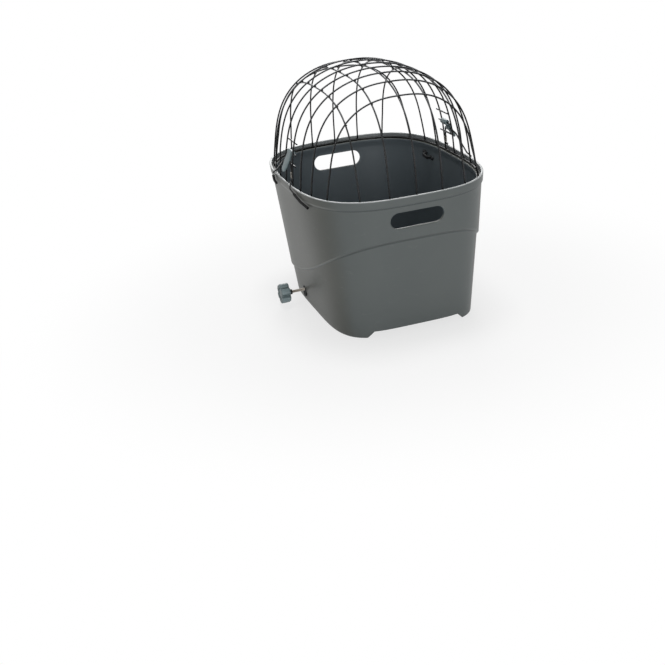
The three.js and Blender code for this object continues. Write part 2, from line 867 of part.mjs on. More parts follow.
// Plastic lever: hub on the middle rung, blade that leans outwards, lugs that hold the bail
function leverSolid() {
  const half = leverWidth / 2;
  const endHalf = leverEndWidth / 2;
  const bladeTop = hubRadius / 2;
  const shape = new THREE.Shape();
  shape.moveTo(-half, bladeTop);
  shape.lineTo(-half, -leverDrop / 2);
  shape.lineTo(-endHalf, endHalf - leverDrop);
  shape.absarc(0, endHalf - leverDrop, endHalf, Math.PI, 2 * Math.PI, false);
  shape.lineTo(half, -leverDrop / 2);
  shape.lineTo(half, bladeTop);
  const blade = new THREE.ExtrudeGeometry(shape, {
    depth: leverThickness,
    bevelEnabled: false,
    curveSegments: 10,
  });
  blade.rotateX(Math.PI / 2);
  blade.rotateZ(Math.PI / 2);
  blade.translate(-leverThickness / 2, 0, 0);
  blade.rotateY(leverLean);
  let lever = toSolid(blade).add(toSolid(rodAlongY(hubRadius, -half, half, 16)));
  const barShift = pivotX - barX;
  const lug = rodAlongY(lugRadius, lugInset - half, half - lugInset, 12);
  lug.translate(barShift, 0, -barDrop);
  lever = lever.add(toSolid(lug));
  const pivotBore = rodAlongY(boreRound(wireRadius, 12), -leverWidth, leverWidth, 12);
  const barBore = rodAlongY(boreRound(bailWire, 12), -leverWidth, leverWidth, 12);
  barBore.translate(barShift, 0, -barDrop);
  lever = lever.subtract(toSolid(pivotBore)).subtract(toSolid(barBore));
  const geometry = toGeometry(lever);
  geometry.translate(-pivotX, leverY, pivotHeight);
  return geometry;
}

addPair("latch_lever", leverSolid, gripPlastic);

// A point beside the left wall, one clearance out from the surface
function besideWall(y, z, clearance) {
  const inset = z < bandBottom - sleeveRadius ? bodyInset : 0;
  const outline = outlineAt(z, inset);
  const x = halfWidthAt(outline, y);
  const step = seatGap;
  const slope = (halfWidthAt(outline, y + step) - halfWidthAt(outline, y - step)) / (2 * step);
  const out = new THREE.Vector2(1, -slope).normalize();
  return new THREE.Vector3(-x - clearance * out.x, y + clearance * out.y, z);
}

const outsideClearance = sleeveRadius + 3 * seatGap;
const lipClearance = bailWire + 3 * seatGap;
const bendReach = 3;
const bendSteps = 4;
const railFoot = rimTop + 2 * sleeveRadius;

// Straight runs between corners, each corner rounded over a short reach
function roundedPath(corners) {
  const path = [corners[0]];
  for (let i = 1; i < corners.length - 1; i += 1) {
    const corner = corners[i];
    const [from, to] = [corners[i - 1], corners[i + 1]].map((other) => {
      const way = other.clone().sub(corner);
      return corner.clone().addScaledVector(way.clone().normalize(), Math.min(bendReach, way.length() / 3));
    });
    const bend = new THREE.QuadraticBezierCurve3(from, corner, to);
    path.push(...bend.getPoints(bendSteps));
  }
  path.push(corners.at(-1));
  return path;
}

// The bail: a slanting rear leg beside the band, the rail with the spring, the bar in the
// lever, and a slanting front leg that goes over the lip and hooks under the band
const nearSlopeSteps = 3;
const overLipX = rimHalfWidth - lipRound / 2;
const overLipHeight = rimTop + lipClearance;
const passX = crossWireX(railFoot, 0) + 2 * wireRadius + slideGap;

function bailCorners() {
  const rear = Array.from({ length: nearSlopeSteps + 1 }, (_, i) => {
    const share = i / nearSlopeSteps;
    const y = THREE.MathUtils.lerp(-nearTip, -nearCrossing, share);
    const z = THREE.MathUtils.lerp(rimTop - nearTipDrop, rimTop - lipRound, share);
    return besideWall(y, z, outsideClearance);
  });
  return [
    ...rear,
    new THREE.Vector3(-overLipX, -nearCrossing + 2 * sleeveRadius, overLipHeight),
    new THREE.Vector3(-passX, railY - 2 * wireRadius, (overLipHeight + railFoot) / 2),
    new THREE.Vector3(-barX, railY, railFoot),
    new THREE.Vector3(-barX, railY, barHeight),
    new THREE.Vector3(-barX, barEndY, barHeight),
    new THREE.Vector3(-passX, 2 * wireRadius, barHeight - 2 * bendReach),
    new THREE.Vector3(-passX, farCrossing - 2 * sleeveRadius, railFoot),
    new THREE.Vector3(-overLipX, farCrossing, overLipHeight),
    besideWall(farCrossing, rimTop - lipRound, outsideClearance),
    besideWall(farCrossing, bandBottom, outsideClearance),
    besideWall(farTip, rimTop - farTipDrop, outsideClearance),
  ];
}

const bailPoints = roundedPath(bailCorners());

function bailStretch(from, to) {
  return new Chain(bailPoints.slice(from, to));
}

addPair(
  "latch_bail",
  () => wireAlong(new Chain(bailPoints), bailWire, wireSides, bailPoints.length - 1),
  blackWire,
);

// Soft sleeves cover both legs where they lie outside the tub
const bendPoints = bendSteps + 1;
const rearSleevePoints = 1 + (nearSlopeSteps - 1) * bendPoints + 1;
const frontSleevePoints = 1 + bendPoints + 1;
const sleeveSides = 8;

function sleeve(from, to) {
  const stretch = bailStretch(from, to);
  const bore = boreRound(bailWire, sleeveSides);
  return wireAlong(stretch, sleeveRadius, sleeveSides, stretch.points.length - 1, bore);
}

addPair("rear_sleeve", () => sleeve(0, rearSleevePoints), rubber);
addPair("front_sleeve", () => sleeve(-frontSleevePoints, undefined), rubber);

// Coil spring round the straight rail of the bail
function coilSpring() {
  const from = railFoot + bendReach + springWire;
  const to = barHeight - bendReach - springWire;
  const pitch = (to - from) / springCurls;
  const stepsPerCurl = 8;
  const sectionSides = 5;
  const positions = [];
  const faces = [];
  const centres = [];
  const count = springCurls * stepsPerCurl;
  for (let i = 0; i <= count; i += 1) {
    const turn = (2 * Math.PI * i) / stepsPerCurl;
    const out = new THREE.Vector3(Math.cos(turn), Math.sin(turn), 0);
    const centre = out.clone().multiplyScalar(springMean);
    centre.z = from + (pitch * i) / stepsPerCurl;
    centres.push(centre);
    for (let side = 0; side < sectionSides; side += 1) {
      const angle = (2 * Math.PI * side) / sectionSides;
      const point = centre.clone().addScaledVector(out, springWire * Math.cos(angle));
      point.z += springWire * Math.sin(angle);
      positions.push(point.x, point.y, point.z);
    }
  }
  for (let i = 0; i < count; i += 1) {
    const here = i * sectionSides;
    const ahead = here + sectionSides;
    for (let side = 0; side < sectionSides; side += 1) {
      const next = (side + 1) % sectionSides;
      faces.push(here + side, ahead + side, ahead + next);
      faces.push(here + side, ahead + next, here + next);
    }
  }
  for (let side = 1; side < sectionSides - 1; side += 1) {
    const last = count * sectionSides;
    faces.push(0, side, side + 1);
    faces.push(last, last + side + 1, last + side);
  }
  let least = Infinity;
  for (let i = 0; i < count; i += 1) {
    for (let j = i + stepsPerCurl / 2; j <= count; j += 1) {
      least = Math.min(least, centres[i].distanceTo(centres[j]) - 2 * springWire);
    }
  }
  console.log(`latch spring, least gap to itself: ${least.toFixed(2)} mm`);
  const spring = fromArrays(positions, faces);
  spring.translate(-barX, railY, 0);
  return spring;
}

addPair("latch_spring", coilSpring, steel);

export default group;
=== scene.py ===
import math

import bpy
from mathutils import Matrix, Vector


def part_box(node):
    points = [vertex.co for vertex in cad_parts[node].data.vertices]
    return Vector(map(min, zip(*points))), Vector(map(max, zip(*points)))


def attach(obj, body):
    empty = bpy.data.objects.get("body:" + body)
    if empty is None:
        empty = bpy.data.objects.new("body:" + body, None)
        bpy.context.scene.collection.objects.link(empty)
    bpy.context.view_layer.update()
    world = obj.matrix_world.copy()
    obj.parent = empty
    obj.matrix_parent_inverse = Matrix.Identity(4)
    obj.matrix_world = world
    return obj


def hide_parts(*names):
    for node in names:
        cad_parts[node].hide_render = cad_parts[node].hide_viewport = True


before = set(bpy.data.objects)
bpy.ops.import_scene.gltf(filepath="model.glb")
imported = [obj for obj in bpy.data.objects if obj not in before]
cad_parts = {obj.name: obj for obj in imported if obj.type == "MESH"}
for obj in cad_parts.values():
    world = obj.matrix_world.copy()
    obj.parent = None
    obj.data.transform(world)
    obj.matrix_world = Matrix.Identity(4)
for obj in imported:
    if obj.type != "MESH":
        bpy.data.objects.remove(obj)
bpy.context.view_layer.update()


# Camera: stands in front of the basket's near end, above its rim and a little to its left, and
# looks down into it. The lens gives the picture's square frame.
camera_place = (-0.690, -1.945, 0.845)
camera_right = Vector((0.94387361, -0.32012543, -0.08137762))
camera_up = Vector((0.20285759, 0.3673783, 0.90767945))
camera_ahead = Vector((0.2606749, 0.87324275, -0.41169856))
camera_turn = Matrix((camera_right, camera_up, -camera_ahead)).transposed().to_4x4()
camera_data = bpy.data.cameras.new("camera")
camera_data.lens = 59.55
camera_data.sensor_width = 36.0
camera_data.clip_start = 0.05
camera = bpy.data.objects.new("camera", camera_data)
camera.matrix_world = Matrix.Translation(camera_place) @ camera_turn
bpy.context.scene.collection.objects.link(camera)
bpy.context.scene.camera = camera


# Tub: one moulded shell of dark grey plastic with a fine grain. Its walls lean outwards, and a
# stepped line falls along them from the near end to the far end. A band stiffens the rim, and a
# ledge inside it carries the dome.
base_half_width, rim_half_width = 0.147, 0.180
base_half_length, rim_half_length = 0.196, 0.230
base_squareness, rim_squareness = 4.35, 3.10
foot_level = -0.013
rim_top = 0.261
ledge_top = 0.251
lip_width = 0.0037
upper_inset = 0.002
inner_inset = 0.008
style_low = 0.037
style_rise = 0.150
tub_steps = 288
wall_rings = 9
inner_wall_rings = 14
sharp_angle = 0.6
merge_distance = 0.00001


def between(low, high, share):
    return low + (high - low) * share


def oval_point(turn, half_width, half_length, squareness, height):
    """A point on an oval that grows squarer as its power grows above 2."""
    across = math.cos(turn)
    along = math.sin(turn)
    reach = (abs(across) ** squareness + abs(along) ** squareness) ** (-1 / squareness)
    return Vector((half_width * across * reach, half_length * along * reach, height))


def oval_reach(half, place, other_half, squareness):
    """How far such an oval reaches on one axis, at a place on the other axis."""
    return half * (1 - (abs(place) / other_half) ** squareness) ** (1 / squareness)


def tub_sizes(height, inset):
    share = (height - foot_level) / (rim_top - foot_level)
    return (
        between(base_half_width, rim_half_width, share) - inset,
        between(base_half_length, rim_half_length, share) - inset,
        between(base_squareness, rim_squareness, share),
    )


def tub_point(turn, height, inset):
    return oval_point(turn, *tub_sizes(height, inset), height)


def style_height(along):
    return style_low + style_rise * ((rim_half_length - along) / (2 * rim_half_length)) ** 2


def select_only(piece):
    bpy.ops.object.select_all(action="DESELECT")
    piece.select_set(True)
    bpy.context.view_layer.objects.active = piece


def name_new(name):
    piece = bpy.context.view_layer.objects.active
    piece.name = piece.data.name = name
    return piece


def settle():
    """The object's place, turn and size go into its mesh."""
    bpy.ops.object.transform_apply(location=True, rotation=True, scale=True)


def edit_all(piece):
    select_only(piece)
    bpy.ops.object.mode_set(mode="EDIT")
    bpy.ops.mesh.select_all(action="SELECT")


def tube_of_rings(name, rings):
    """A cylinder, drawn up once for each ring, whose points are then put on the rings."""
    count = len(rings[0])
    bpy.ops.object.select_all(action="DESELECT")
    bpy.ops.mesh.primitive_cylinder_add(
        vertices=count, radius=1, depth=1, end_fill_type="NGON", location=(0, 0, 0.5))
    piece = name_new(name)
    settle()
    bpy.ops.object.mode_set(mode="EDIT")
    bpy.ops.mesh.select_all(action="DESELECT")
    bpy.ops.object.mode_set(mode="OBJECT")
    for face in piece.data.polygons:
        face.select = face.normal.z > 0.9
    bpy.ops.object.mode_set(mode="EDIT")
    bpy.ops.mesh.select_mode(type="FACE")
    for _ in range(len(rings) - 2):
        bpy.ops.mesh.extrude_region_move(TRANSFORM_OT_translate={"value": (0, 0, 1)})
    bpy.ops.object.mode_set(mode="OBJECT")
    for vertex in piece.data.vertices:
        turn = math.atan2(vertex.co.x, vertex.co.y)
        place = round(turn / (2 * math.pi) * count) % count
        vertex.co = rings[round(vertex.co.z)][-place % count]
    edit_all(piece)
    bpy.ops.mesh.normals_make_consistent(inside=False)
    bpy.ops.object.mode_set(mode="OBJECT")
    return piece


def merge_close_points(piece):
    edit_all(piece)
    bpy.ops.mesh.remove_doubles(threshold=merge_distance)
    bpy.ops.object.mode_set(mode="OBJECT")


def cut(piece, tool, operation="DIFFERENCE"):
    select_only(piece)
    boolean = piece.modifiers.new("cut", "BOOLEAN")
    boolean.operation = operation
    boolean.solver = "MANIFOLD"
    boolean.object = tool
    bpy.ops.object.modifier_apply(modifier=boolean.name)
    bpy.data.objects.remove(tool)
    merge_close_points(piece)


def smooth(piece, angle=sharp_angle):
    select_only(piece)
    bpy.ops.object.shade_smooth_by_angle(angle=angle)


# Each row is a height and how far the skin lies inside the leaning wall; the step line's heights
# are counted from the line.
foot_rows = [
    (-0.0130, 0.0110), (-0.0130, 0.0074), (-0.0128, 0.0061), (-0.0120, 0.0052), (-0.0108, 0.0050),
]
style_rows = [
    (-0.0018, 0.0050), (-0.0011, 0.0049), (-0.0007, 0.0045), (-0.0002, 0.0038),
    (0.0002, 0.0030), (0.0006, 0.0024), (0.0010, 0.0021), (0.0017, 0.0020),
]
rim_rows = [
    (0.2437, 0.0020), (0.2443, 0.0019), (0.2447, 0.0016), (0.2450, 0.0010), (0.2452, 0.0004),
    (0.2456, 0.0001), (0.2464, 0.0000), (0.2540, 0.0000), (0.2600, 0.0000), (0.2606, 0.0002),
    (0.2609, 0.0005), (0.2610, 0.0009), (0.2610, 0.0033), (0.2609, 0.0035), (0.2606, 0.0037),
    (0.2590, 0.0037), (0.2530, 0.0037), (0.2518, 0.0038), (0.2512, 0.0041), (0.2510, 0.0048),
    (0.2510, 0.0100), (0.2509, 0.0106), (0.2506, 0.0110), (0.2502, 0.0113), (0.2496, 0.0114),
    (0.2460, 0.0106), (0.2420, 0.0093), (0.2380, 0.0083), (0.2345, 0.0080),
]
floor_rows = [
    (0.0370, 0.0080), (0.0336, 0.0085), (0.0308, 0.0100), (0.0289, 0.0124), (0.0281, 0.0152),
    (0.0280, 0.0190), (0.0280, 0.0700),
]
tub_turns = [2 * math.pi * i / tub_steps for i in range(tub_steps)]


def level_rings(rows):
    return [[tub_point(turn, height, inset) for turn in tub_turns] for height, inset in rows]


def style_ring(offset, inset):
    """A ring along the step line; a few tries settle a height that depends on itself."""
    ring = []
    for turn in tub_turns:
        height = 0.1
        for _ in range(6):
            height = style_height(tub_point(turn, height, inset).y)
        ring.append(tub_point(turn, height + offset, inset))
    return ring


def rings_between(lower, upper, count):
    return [[a.lerp(b, i / count) for a, b in zip(lower, upper)] for i in range(1, count)]


tub_rings = level_rings(foot_rows)
step_rings = [style_ring(offset, inset) for offset, inset in style_rows]
rim_rings = level_rings(rim_rows)
floor_rings = level_rings(floor_rows)
tub_rings += rings_between(tub_rings[-1], step_rings[0], wall_rings) + step_rings
tub_rings += rings_between(step_rings[-1], rim_rings[0], wall_rings) + rim_rings
tub_rings += rings_between(rim_rings[-1], floor_rings[0], inner_wall_rings) + floor_rings
tub = tube_of_rings("tub_shell", tub_rings)

# Handle slots: a long hole through each end wall, to lift the tub by. The mould rounds both of its
# edges for the fingers.
slot_height = 0.217
slot_radius = 0.015
slot_straight = 0.036
slot_steps = 96
slot_profile = [
    (0.0060, upper_inset, 0.0016), (0.0000, upper_inset, 0.0016), (-0.0002, upper_inset, 0.0009),
    (-0.0007, upper_inset, 0.0003), (-0.0015, upper_inset, 0.0000), (0.0015, inner_inset, 0.0000),
    (0.0007, inner_inset, 0.0003), (0.0002, inner_inset, 0.0009), (0.0000, inner_inset, 0.0016),
    (-0.0060, inner_inset, 0.0016),
]


def slot_ring(depth, inset, growth, side):
    """The slot's outline, at a depth in front of the wall's outer or inner face."""
    ring = []
    for i in range(slot_steps):
        turn = 2 * math.pi * (i + 0.5) / slot_steps
        radius = slot_radius + growth
        across = math.copysign(slot_straight, math.cos(turn)) + radius * math.cos(turn)
        height = slot_height + radius * math.sin(turn)
        half_width, half_length, squareness = tub_sizes(height, inset)
        along = oval_reach(half_length, across, half_width, squareness) + depth
        ring.append(Vector((across, side * along, height)))
    return ring


for side in (-1, 1):
    cut(tub, tube_of_rings("slot_cutter", [slot_ring(*row, side) for row in slot_profile]))

# Underside: a channel between the feet lets the tub sit on the carrier, and pockets beside it leave
# ribs across the floor, as in the mould. The left foot is bored for the clamp, behind a recess for
# the bush's oval plate.
foot_wall = 0.003
channel_half_width = 0.084
channel_lean = 0.015
rib_width = 0.005
bay_length = 0.045
below_feet = foot_level - 0.002
pocket_roof = 0.025
clamp_along = 0.047
clamp_height = 0.014
clamp_bay = 0.042
boss_radius = 0.017
boss_start, boss_end = -0.1430, -0.1380
spot_face = -0.14397
plate_half_width = 0.0076
plate_half_height = 0.0122
plate_drop = 0.0036
plate_room = 0.0004
plate_steps = 96
bush_hole_radius = 0.0069
bush_hole_end = -0.1370
rod_hole_radius = 0.0035
rod_hole_end = -0.082


def prism_along_y(name, outline, start, end):
    return tube_of_rings(name, [[Vector((x, y, z)) for x, z in outline] for y in (start, end)])


def join(pieces):
    bpy.ops.object.select_all(action="DESELECT")
    for piece in pieces:
        piece.select_set(True)
    bpy.context.view_layer.objects.active = pieces[0]
    bpy.ops.object.join()
    return pieces[0]


def round_edges(piece, width, segments=3):
    select_only(piece)
    bevel = piece.modifiers.new("edges", "BEVEL")
    bevel.width = width
    bevel.segments = segments
    bevel.limit_method = "ANGLE"
    bevel.angle_limit = sharp_angle
    bpy.ops.object.modifier_apply(modifier=bevel.name)
    merge_close_points(piece)
    smooth(piece)


def cylinder(name, axis, radius, length, middle, sides=64, edge=0.0):
    """A cylinder along an axis, with its two rims rounded."""
    turn = {"X": (0, math.pi / 2, 0), "Y": (math.pi / 2, 0, 0), "Z": (0, 0, 0)}[axis]
    bpy.ops.object.select_all(action="DESELECT")
    bpy.ops.mesh.primitive_cylinder_add(
        vertices=sides, radius=radius, depth=length, location=middle, rotation=turn)
    piece = name_new(name)
    settle()
    if edge:
        round_edges(piece, edge)
    return piece


def barrel(name, radius, start, end, sides=64, edge=0.0):
    """A cylinder on the clamp's axis."""
    middle = ((start + end) / 2, clamp_along, clamp_height)
    return cylinder(name, "X", radius, end - start, middle, sides, edge)


def plate_ring(x, growth):
    """The bush's plate: an upright oval that reaches further down than up."""
    ring = []
    for i in range(plate_steps):
        turn = 2 * math.pi * i / plate_steps
        ring.append(Vector((
            x,
            clamp_along + (plate_half_width + growth) * math.cos(turn),
            clamp_height - plate_drop + (plate_half_height + growth) * math.sin(turn),
        )))
    return ring


rib_places = [clamp_along - clamp_bay / 2 - i * bay_length for i in range(5)]
rib_places += [clamp_along + clamp_bay / 2 + i * bay_length for i in range(3)]
rib_places.sort()
bay_starts = [-rim_half_length] + [y + rib_width / 2 for y in rib_places]
bay_ends = [y - rib_width / 2 for y in rib_places] + [rim_half_length]
channel_foot = channel_half_width + channel_lean
spine_pocket = [
    (foot_wall, below_feet), (channel_half_width, below_feet),
    (channel_half_width, pocket_roof), (foot_wall, pocket_roof),
]
foot_pocket = [
    (channel_foot + foot_wall, below_feet), (rim_half_width, below_feet),
    (rim_half_width, pocket_roof), (channel_half_width + foot_wall, pocket_roof),
    (channel_half_width + foot_wall, 0.000),
]
pockets = []
for outline in (spine_pocket, foot_pocket):
    for mirror in (1, -1):
        shape = [(mirror * x, z) for x, z in outline]
        for start, end in zip(bay_starts, bay_ends):
            pockets.append(prism_along_y("pocket", shape, start, end))
pocket_cutter = join(pockets)
hollow_rows = [(z, inner_inset) for z in (below_feet - 0.0005, pocket_roof - 0.0005, pocket_roof)]
cut(pocket_cutter, tube_of_rings("hollow", level_rings(hollow_rows)), "INTERSECT")
cut(pocket_cutter, barrel("boss", boss_radius, boss_start, boss_end))
cut(tub, pocket_cutter)
channel_outline = [
    (-channel_foot, below_feet), (channel_foot, below_feet),
    (channel_half_width, 0.000), (-channel_half_width, 0.000),
]
cut(tub, prism_along_y("channel", channel_outline, -rim_half_length, rim_half_length))
recess_rings = [plate_ring(x, plate_room) for x in (-rim_half_width, spot_face)]
cut(tub, tube_of_rings("recess", recess_rings))
cut(tub, barrel("bush_hole", bush_hole_radius, -rim_half_width, bush_hole_end))
cut(tub, barrel("rod_hole", rod_hole_radius, -rim_half_width, rod_hole_end))
smooth(tub)


class Shade:
    """A shader socket that Python's arithmetic works on: each sum adds its Math node."""

    def __init__(self, tree, socket):
        self.tree = tree
        self.socket = socket

    def maths(self, operation, first, second):
        node = self.tree.nodes.new("ShaderNodeMath")
        node.operation = operation
        for place, item in zip(node.inputs, (first, second)):
            if isinstance(item, Shade):
                self.tree.links.new(item.socket, place)
            else:
                place.default_value = item
        return Shade(self.tree, node.outputs[0])

    def larger(self, other):
        return self.maths("MAXIMUM", self, other)

    def __add__(self, other):
        return self.maths("ADD", self, other)

    def __radd__(self, other):
        return self.maths("ADD", other, self)

    def __sub__(self, other):
        return self.maths("SUBTRACT", self, other)

    def __rsub__(self, other):
        return self.maths("SUBTRACT", other, self)

    def __mul__(self, other):
        return self.maths("MULTIPLY", self, other)

    def __rmul__(self, other):
        return self.maths("MULTIPLY", other, self)


class Finish:
    """A material in the making: its shader takes constants at once, and node() adds the rest."""

    def __init__(self, name, **constants):
        self.material = bpy.data.materials.new(name)
        self.material.use_nodes = True
        self.tree = self.material.node_tree
        self.shader = self.tree.nodes["Principled BSDF"]
        for socket, value in constants.items():
            self.shader.inputs[socket.replace("_", " ")].default_value = value
        self.place = self.node("ShaderNodeTexCoord", output="Object")

    def node(self, kind, settings=None, output=0, **sockets):
        """A node with its settings; a socket goes by its name, or by i and its number."""
        node = self.tree.nodes.new(kind)
        for key, value in (settings or {}).items():
            setattr(node, key, value)
        for key, value in sockets.items():
            place = node.inputs[int(key[1:]) if key[1:].isdigit() else key.replace("_", " ")]
            if isinstance(value, Shade):
                self.tree.links.new(value.socket, place)
            else:
                place.default_value = value
        return Shade(self.tree, node.outputs[output])

    def noise(self, scale, detail=2.0, roughness=0.5, place=None):
        return self.node("ShaderNodeTexNoise", Vector=place or self.place, Scale=scale,
                         Detail=detail, Roughness=roughness)

    def normal(self):
        return self.node("ShaderNodeTexCoord", output="Normal")

    def mapped(self, scale, location=(0.0, 0.0, 0.0)):
        return self.node("ShaderNodeMapping", Vector=self.place, Scale=scale, Location=location)

    def part(self, vector, axis):
        return self.node("ShaderNodeSeparateXYZ", output=axis, Vector=vector)

    def length(self, vector):
        return self.node("ShaderNodeVectorMath", {"operation": "LENGTH"}, output="Value", i0=vector)

    def band(self, value, start, end):
        """0 before the start, 1 past the end, with a soft passage. The start may be the larger."""
        return self.node("ShaderNodeMapRange", {"interpolation_type": "SMOOTHSTEP"}, Value=value,
                         From_Min=start, From_Max=end)

    def line(self, value, width):
        """1 where the value is 0, and down to 0 at the width on both sides."""
        return self.band(value * value, width ** 2, 0.0)

    def mix(self, share, first, second):
        return self.node("ShaderNodeMix", {"data_type": "RGBA"}, output=2,
                         i0=share, i6=first, i7=second)

    def paint(self, tone, roughness, bump=None, depth=None):
        self.tree.links.new(tone.socket, self.shader.inputs["Base Color"])
        self.tree.links.new(roughness.socket, self.shader.inputs["Roughness"])
        if bump:
            raised = self.node("ShaderNodeBump", Height=bump, Distance=depth, Strength=1.0)
            self.tree.links.new(raised.socket, self.shader.inputs["Normal"])


def colour(red, green, blue):
    """A colour given as 0 to 255 on screen, as the shader wants it."""
    def linear(level):
        level = level / 255
        return level / 12.92 if level <= 0.04045 else ((level + 0.055) / 1.055) ** 2.4
    return (linear(red), linear(green), linear(blue), 1.0)


def dress(piece, finish, body, *nodes):
    piece.data.materials.clear()
    piece.data.materials.append(finish.material)
    if nodes:
        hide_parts(*nodes)
    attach(piece, body)


# The tub's plastic is painted darker and warmer on the side walls, and bluer and a little paler
# inside, than on the end walls: painted shade tints. Painted shade darkens the creases under the
# step line and the band; painted highlights run along the edges above them on the side walls, along
# the inner edge of the ledge and along the lip's top; random rubbed patches lighten it.
crease_width = 0.0022
band_edge = 0.2445
# The side and inside tones are painted shade tints; the pale tones for the ledge edge, the edges
# above the creases and the lip are painted highlights, and the dark crease tone is painted shade.
end_tones = (colour(88, 94, 94), colour(99, 104, 103))
side_shade_tones = (colour(78, 81, 77), colour(88, 90, 85))
inner_shade_tint_tones = (colour(90, 98, 103), colour(100, 109, 114))
ledge_highlight_tone = colour(128, 132, 132)
rubbed_tone = colour(122, 126, 126)
crease_shade_tone = colour(44, 47, 48)
edge_highlight_tone = colour(150, 152, 150)
lip_highlight_tone = colour(186, 190, 191)
tub_plastic = Finish("tub_plastic", Roughness=0.5, Specular_IOR_Level=0.3)
grain = tub_plastic.noise(1500.0, 3.0, 0.6)
drift = tub_plastic.noise(7.0, 3.0)
rub = tub_plastic.noise(46.0, 5.0, 0.7, tub_plastic.mapped((1.0, 1.0, 3.0)))
rub = tub_plastic.band(rub, 0.58, 0.75)
along = tub_plastic.part(tub_plastic.place, "Y")
height = tub_plastic.part(tub_plastic.place, "Z")
normal = tub_plastic.normal()
outwards = tub_plastic.node("ShaderNodeVectorMath", {"operation": "DOT_PRODUCT"},
                            output="Value", i0=normal, i1=tub_plastic.place)
outside = tub_plastic.band(outwards, 0.0, 0.05)
normal_along = tub_plastic.part(normal, "Y")
facing_end = tub_plastic.band(normal_along * normal_along, 0.06, 0.60)
side_shade_tone = tub_plastic.mix(drift, *side_shade_tones)
end_tone = tub_plastic.mix(drift, *end_tones)
inner_shade_tint = tub_plastic.mix(drift, *inner_shade_tint_tones)
tone = tub_plastic.mix(outside, inner_shade_tint, tub_plastic.mix(facing_end, side_shade_tone, end_tone))
# Painted highlight along the inner edge of the ledge, under the lip.
ledge_highlight = tub_plastic.band(height, ledge_top - 0.001, ledge_top + 0.001) * (1 - outside)
tone = tub_plastic.mix(ledge_highlight * 0.75, tone, ledge_highlight_tone)
tone = tub_plastic.mix(rub * 0.18, tone, rubbed_tone)
fall = (rim_half_length - along) * (1 / (2 * rim_half_length))
from_style = height - (style_low + style_rise * fall * fall) + crease_width / 2
from_band = height - band_edge
# Painted shade in the creases under the step line and under the band, stronger on the end walls.
style_crease_shade = tub_plastic.line(from_style, crease_width) * (0.08 + 0.40 * facing_end)
band_crease_shade = tub_plastic.line(from_band, crease_width) * (0.2 + 0.45 * facing_end)
tone = tub_plastic.mix(style_crease_shade.larger(band_crease_shade) * outside, tone, crease_shade_tone)
# Painted highlight on the edges just above the two creases, on the side walls only.
style_edge_highlight = tub_plastic.line(from_style - crease_width, crease_width)
band_edge_highlight = tub_plastic.line(from_band - crease_width, crease_width)
side_edge_highlight = (style_edge_highlight + band_edge_highlight) * (1 - facing_end) * outside
tone = tub_plastic.mix(side_edge_highlight * 0.35, tone, edge_highlight_tone)
# Painted highlight along the lip's top, stronger where the rubbed patches fall.
lip_highlight = tub_plastic.band(height, rim_top - 0.0018, rim_top - 0.0003) * (0.70 + 0.3 * rub)
tone = tub_plastic.mix(lip_highlight, tone, lip_highlight_tone)
tub_plastic.paint(tone, 0.34 + 0.10 * grain + 0.06 * drift - 0.04 * rub, grain, 0.00004)
dress(tub, tub_plastic, "basket", "basket_tub")


# Leash anchor: a small strap bracket of dark plastic that bridges a gap for a snap hook. It lies
# slanted on the right wall and is held there by two rivets with blackened heads.
anchor_slant = math.radians(-17)
anchor_squeeze = 0.62
flat_angle = 0.03


def middle_of(node):
    low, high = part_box(node)
    return (Vector(low) + Vector(high)) / 2


def dressed_copy(node, name, edge, segments=3):
    """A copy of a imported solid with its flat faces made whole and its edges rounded."""
    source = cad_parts[node]
    piece = source.copy()
    piece.data = source.data.copy()
    piece.name = piece.data.name = name
    for modifier in list(piece.modifiers):
        piece.modifiers.remove(modifier)
    piece.parent = None
    bpy.context.scene.collection.objects.link(piece)
    merge_close_points(piece)
    edit_all(piece)
    bpy.ops.mesh.dissolve_limited(angle_limit=flat_angle)
    bpy.ops.object.mode_set(mode="OBJECT")
    round_edges(piece, edge, segments)
    return piece


def slant(piece, squeeze=1.0):
    middle = middle_of("leash_anchor")
    edit_all(piece)
    bpy.ops.transform.resize(value=(1, 1, squeeze), center_override=middle)
    bpy.ops.transform.rotate(value=anchor_slant, orient_axis="X", center_override=middle)
    bpy.ops.object.mode_set(mode="OBJECT")


dark_plastic = Finish("dark_plastic", Roughness=0.5, Specular_IOR_Level=0.25)
grain = dark_plastic.noise(1800.0)
tone = dark_plastic.mix(dark_plastic.noise(30.0, 3.0), colour(24, 25, 27), colour(36, 38, 40))
dark_plastic.paint(tone, 0.46 + 0.14 * grain, grain, 0.00006)
anchor = dressed_copy("leash_anchor", "leash_anchor_strap", edge=0.0008)
slant(anchor, anchor_squeeze)
dress(anchor, dark_plastic, "basket", "leash_anchor")
for i in (1, 2):
    rivet = dressed_copy(f"anchor_rivet_{i}", f"anchor_rivet_head_{i}", edge=0.0003, segments=2)
    slant(rivet)
    dress(rivet, dark_plastic, "basket", f"anchor_rivet_{i}")


# Clamp screw: a threaded steel rod runs in the left foot through a dark plastic bush with an oval
# plate. Outside, a lock nut holds it in the hand knob. Inside, a collar turned on it and a clip
# hold it to the moving jaw.
rod_radius = 0.003
rod_steps = 32
rod_start = -0.1900
rod_end = -0.0675
thread_pitch = 0.001
thread_depth = 0.00045
collar_start = -0.0823
collar_end = -0.0793
bush_radius = 0.0065
bush_length = 0.0097
nut_radius = 0.0055
nut_back, nut_front = -0.17917, -0.17237
clip_radius = 0.0055
clip_start, clip_end = -0.0707, -0.0695
bore_radius = 0.0034
bore_sides = 48
bore_past = 0.0013
plate_profile = [
    (-0.0003, -0.0005), (-0.0003, 0.0000), (-0.0021, 0.0000), (-0.0025, -0.0002),
    (-0.0027, -0.0006), (-0.0027, -0.0016), (-0.0026, -0.0020), (-0.0023, -0.0022),
    (-0.0014, -0.0023), (-0.0014, -0.0040),
]


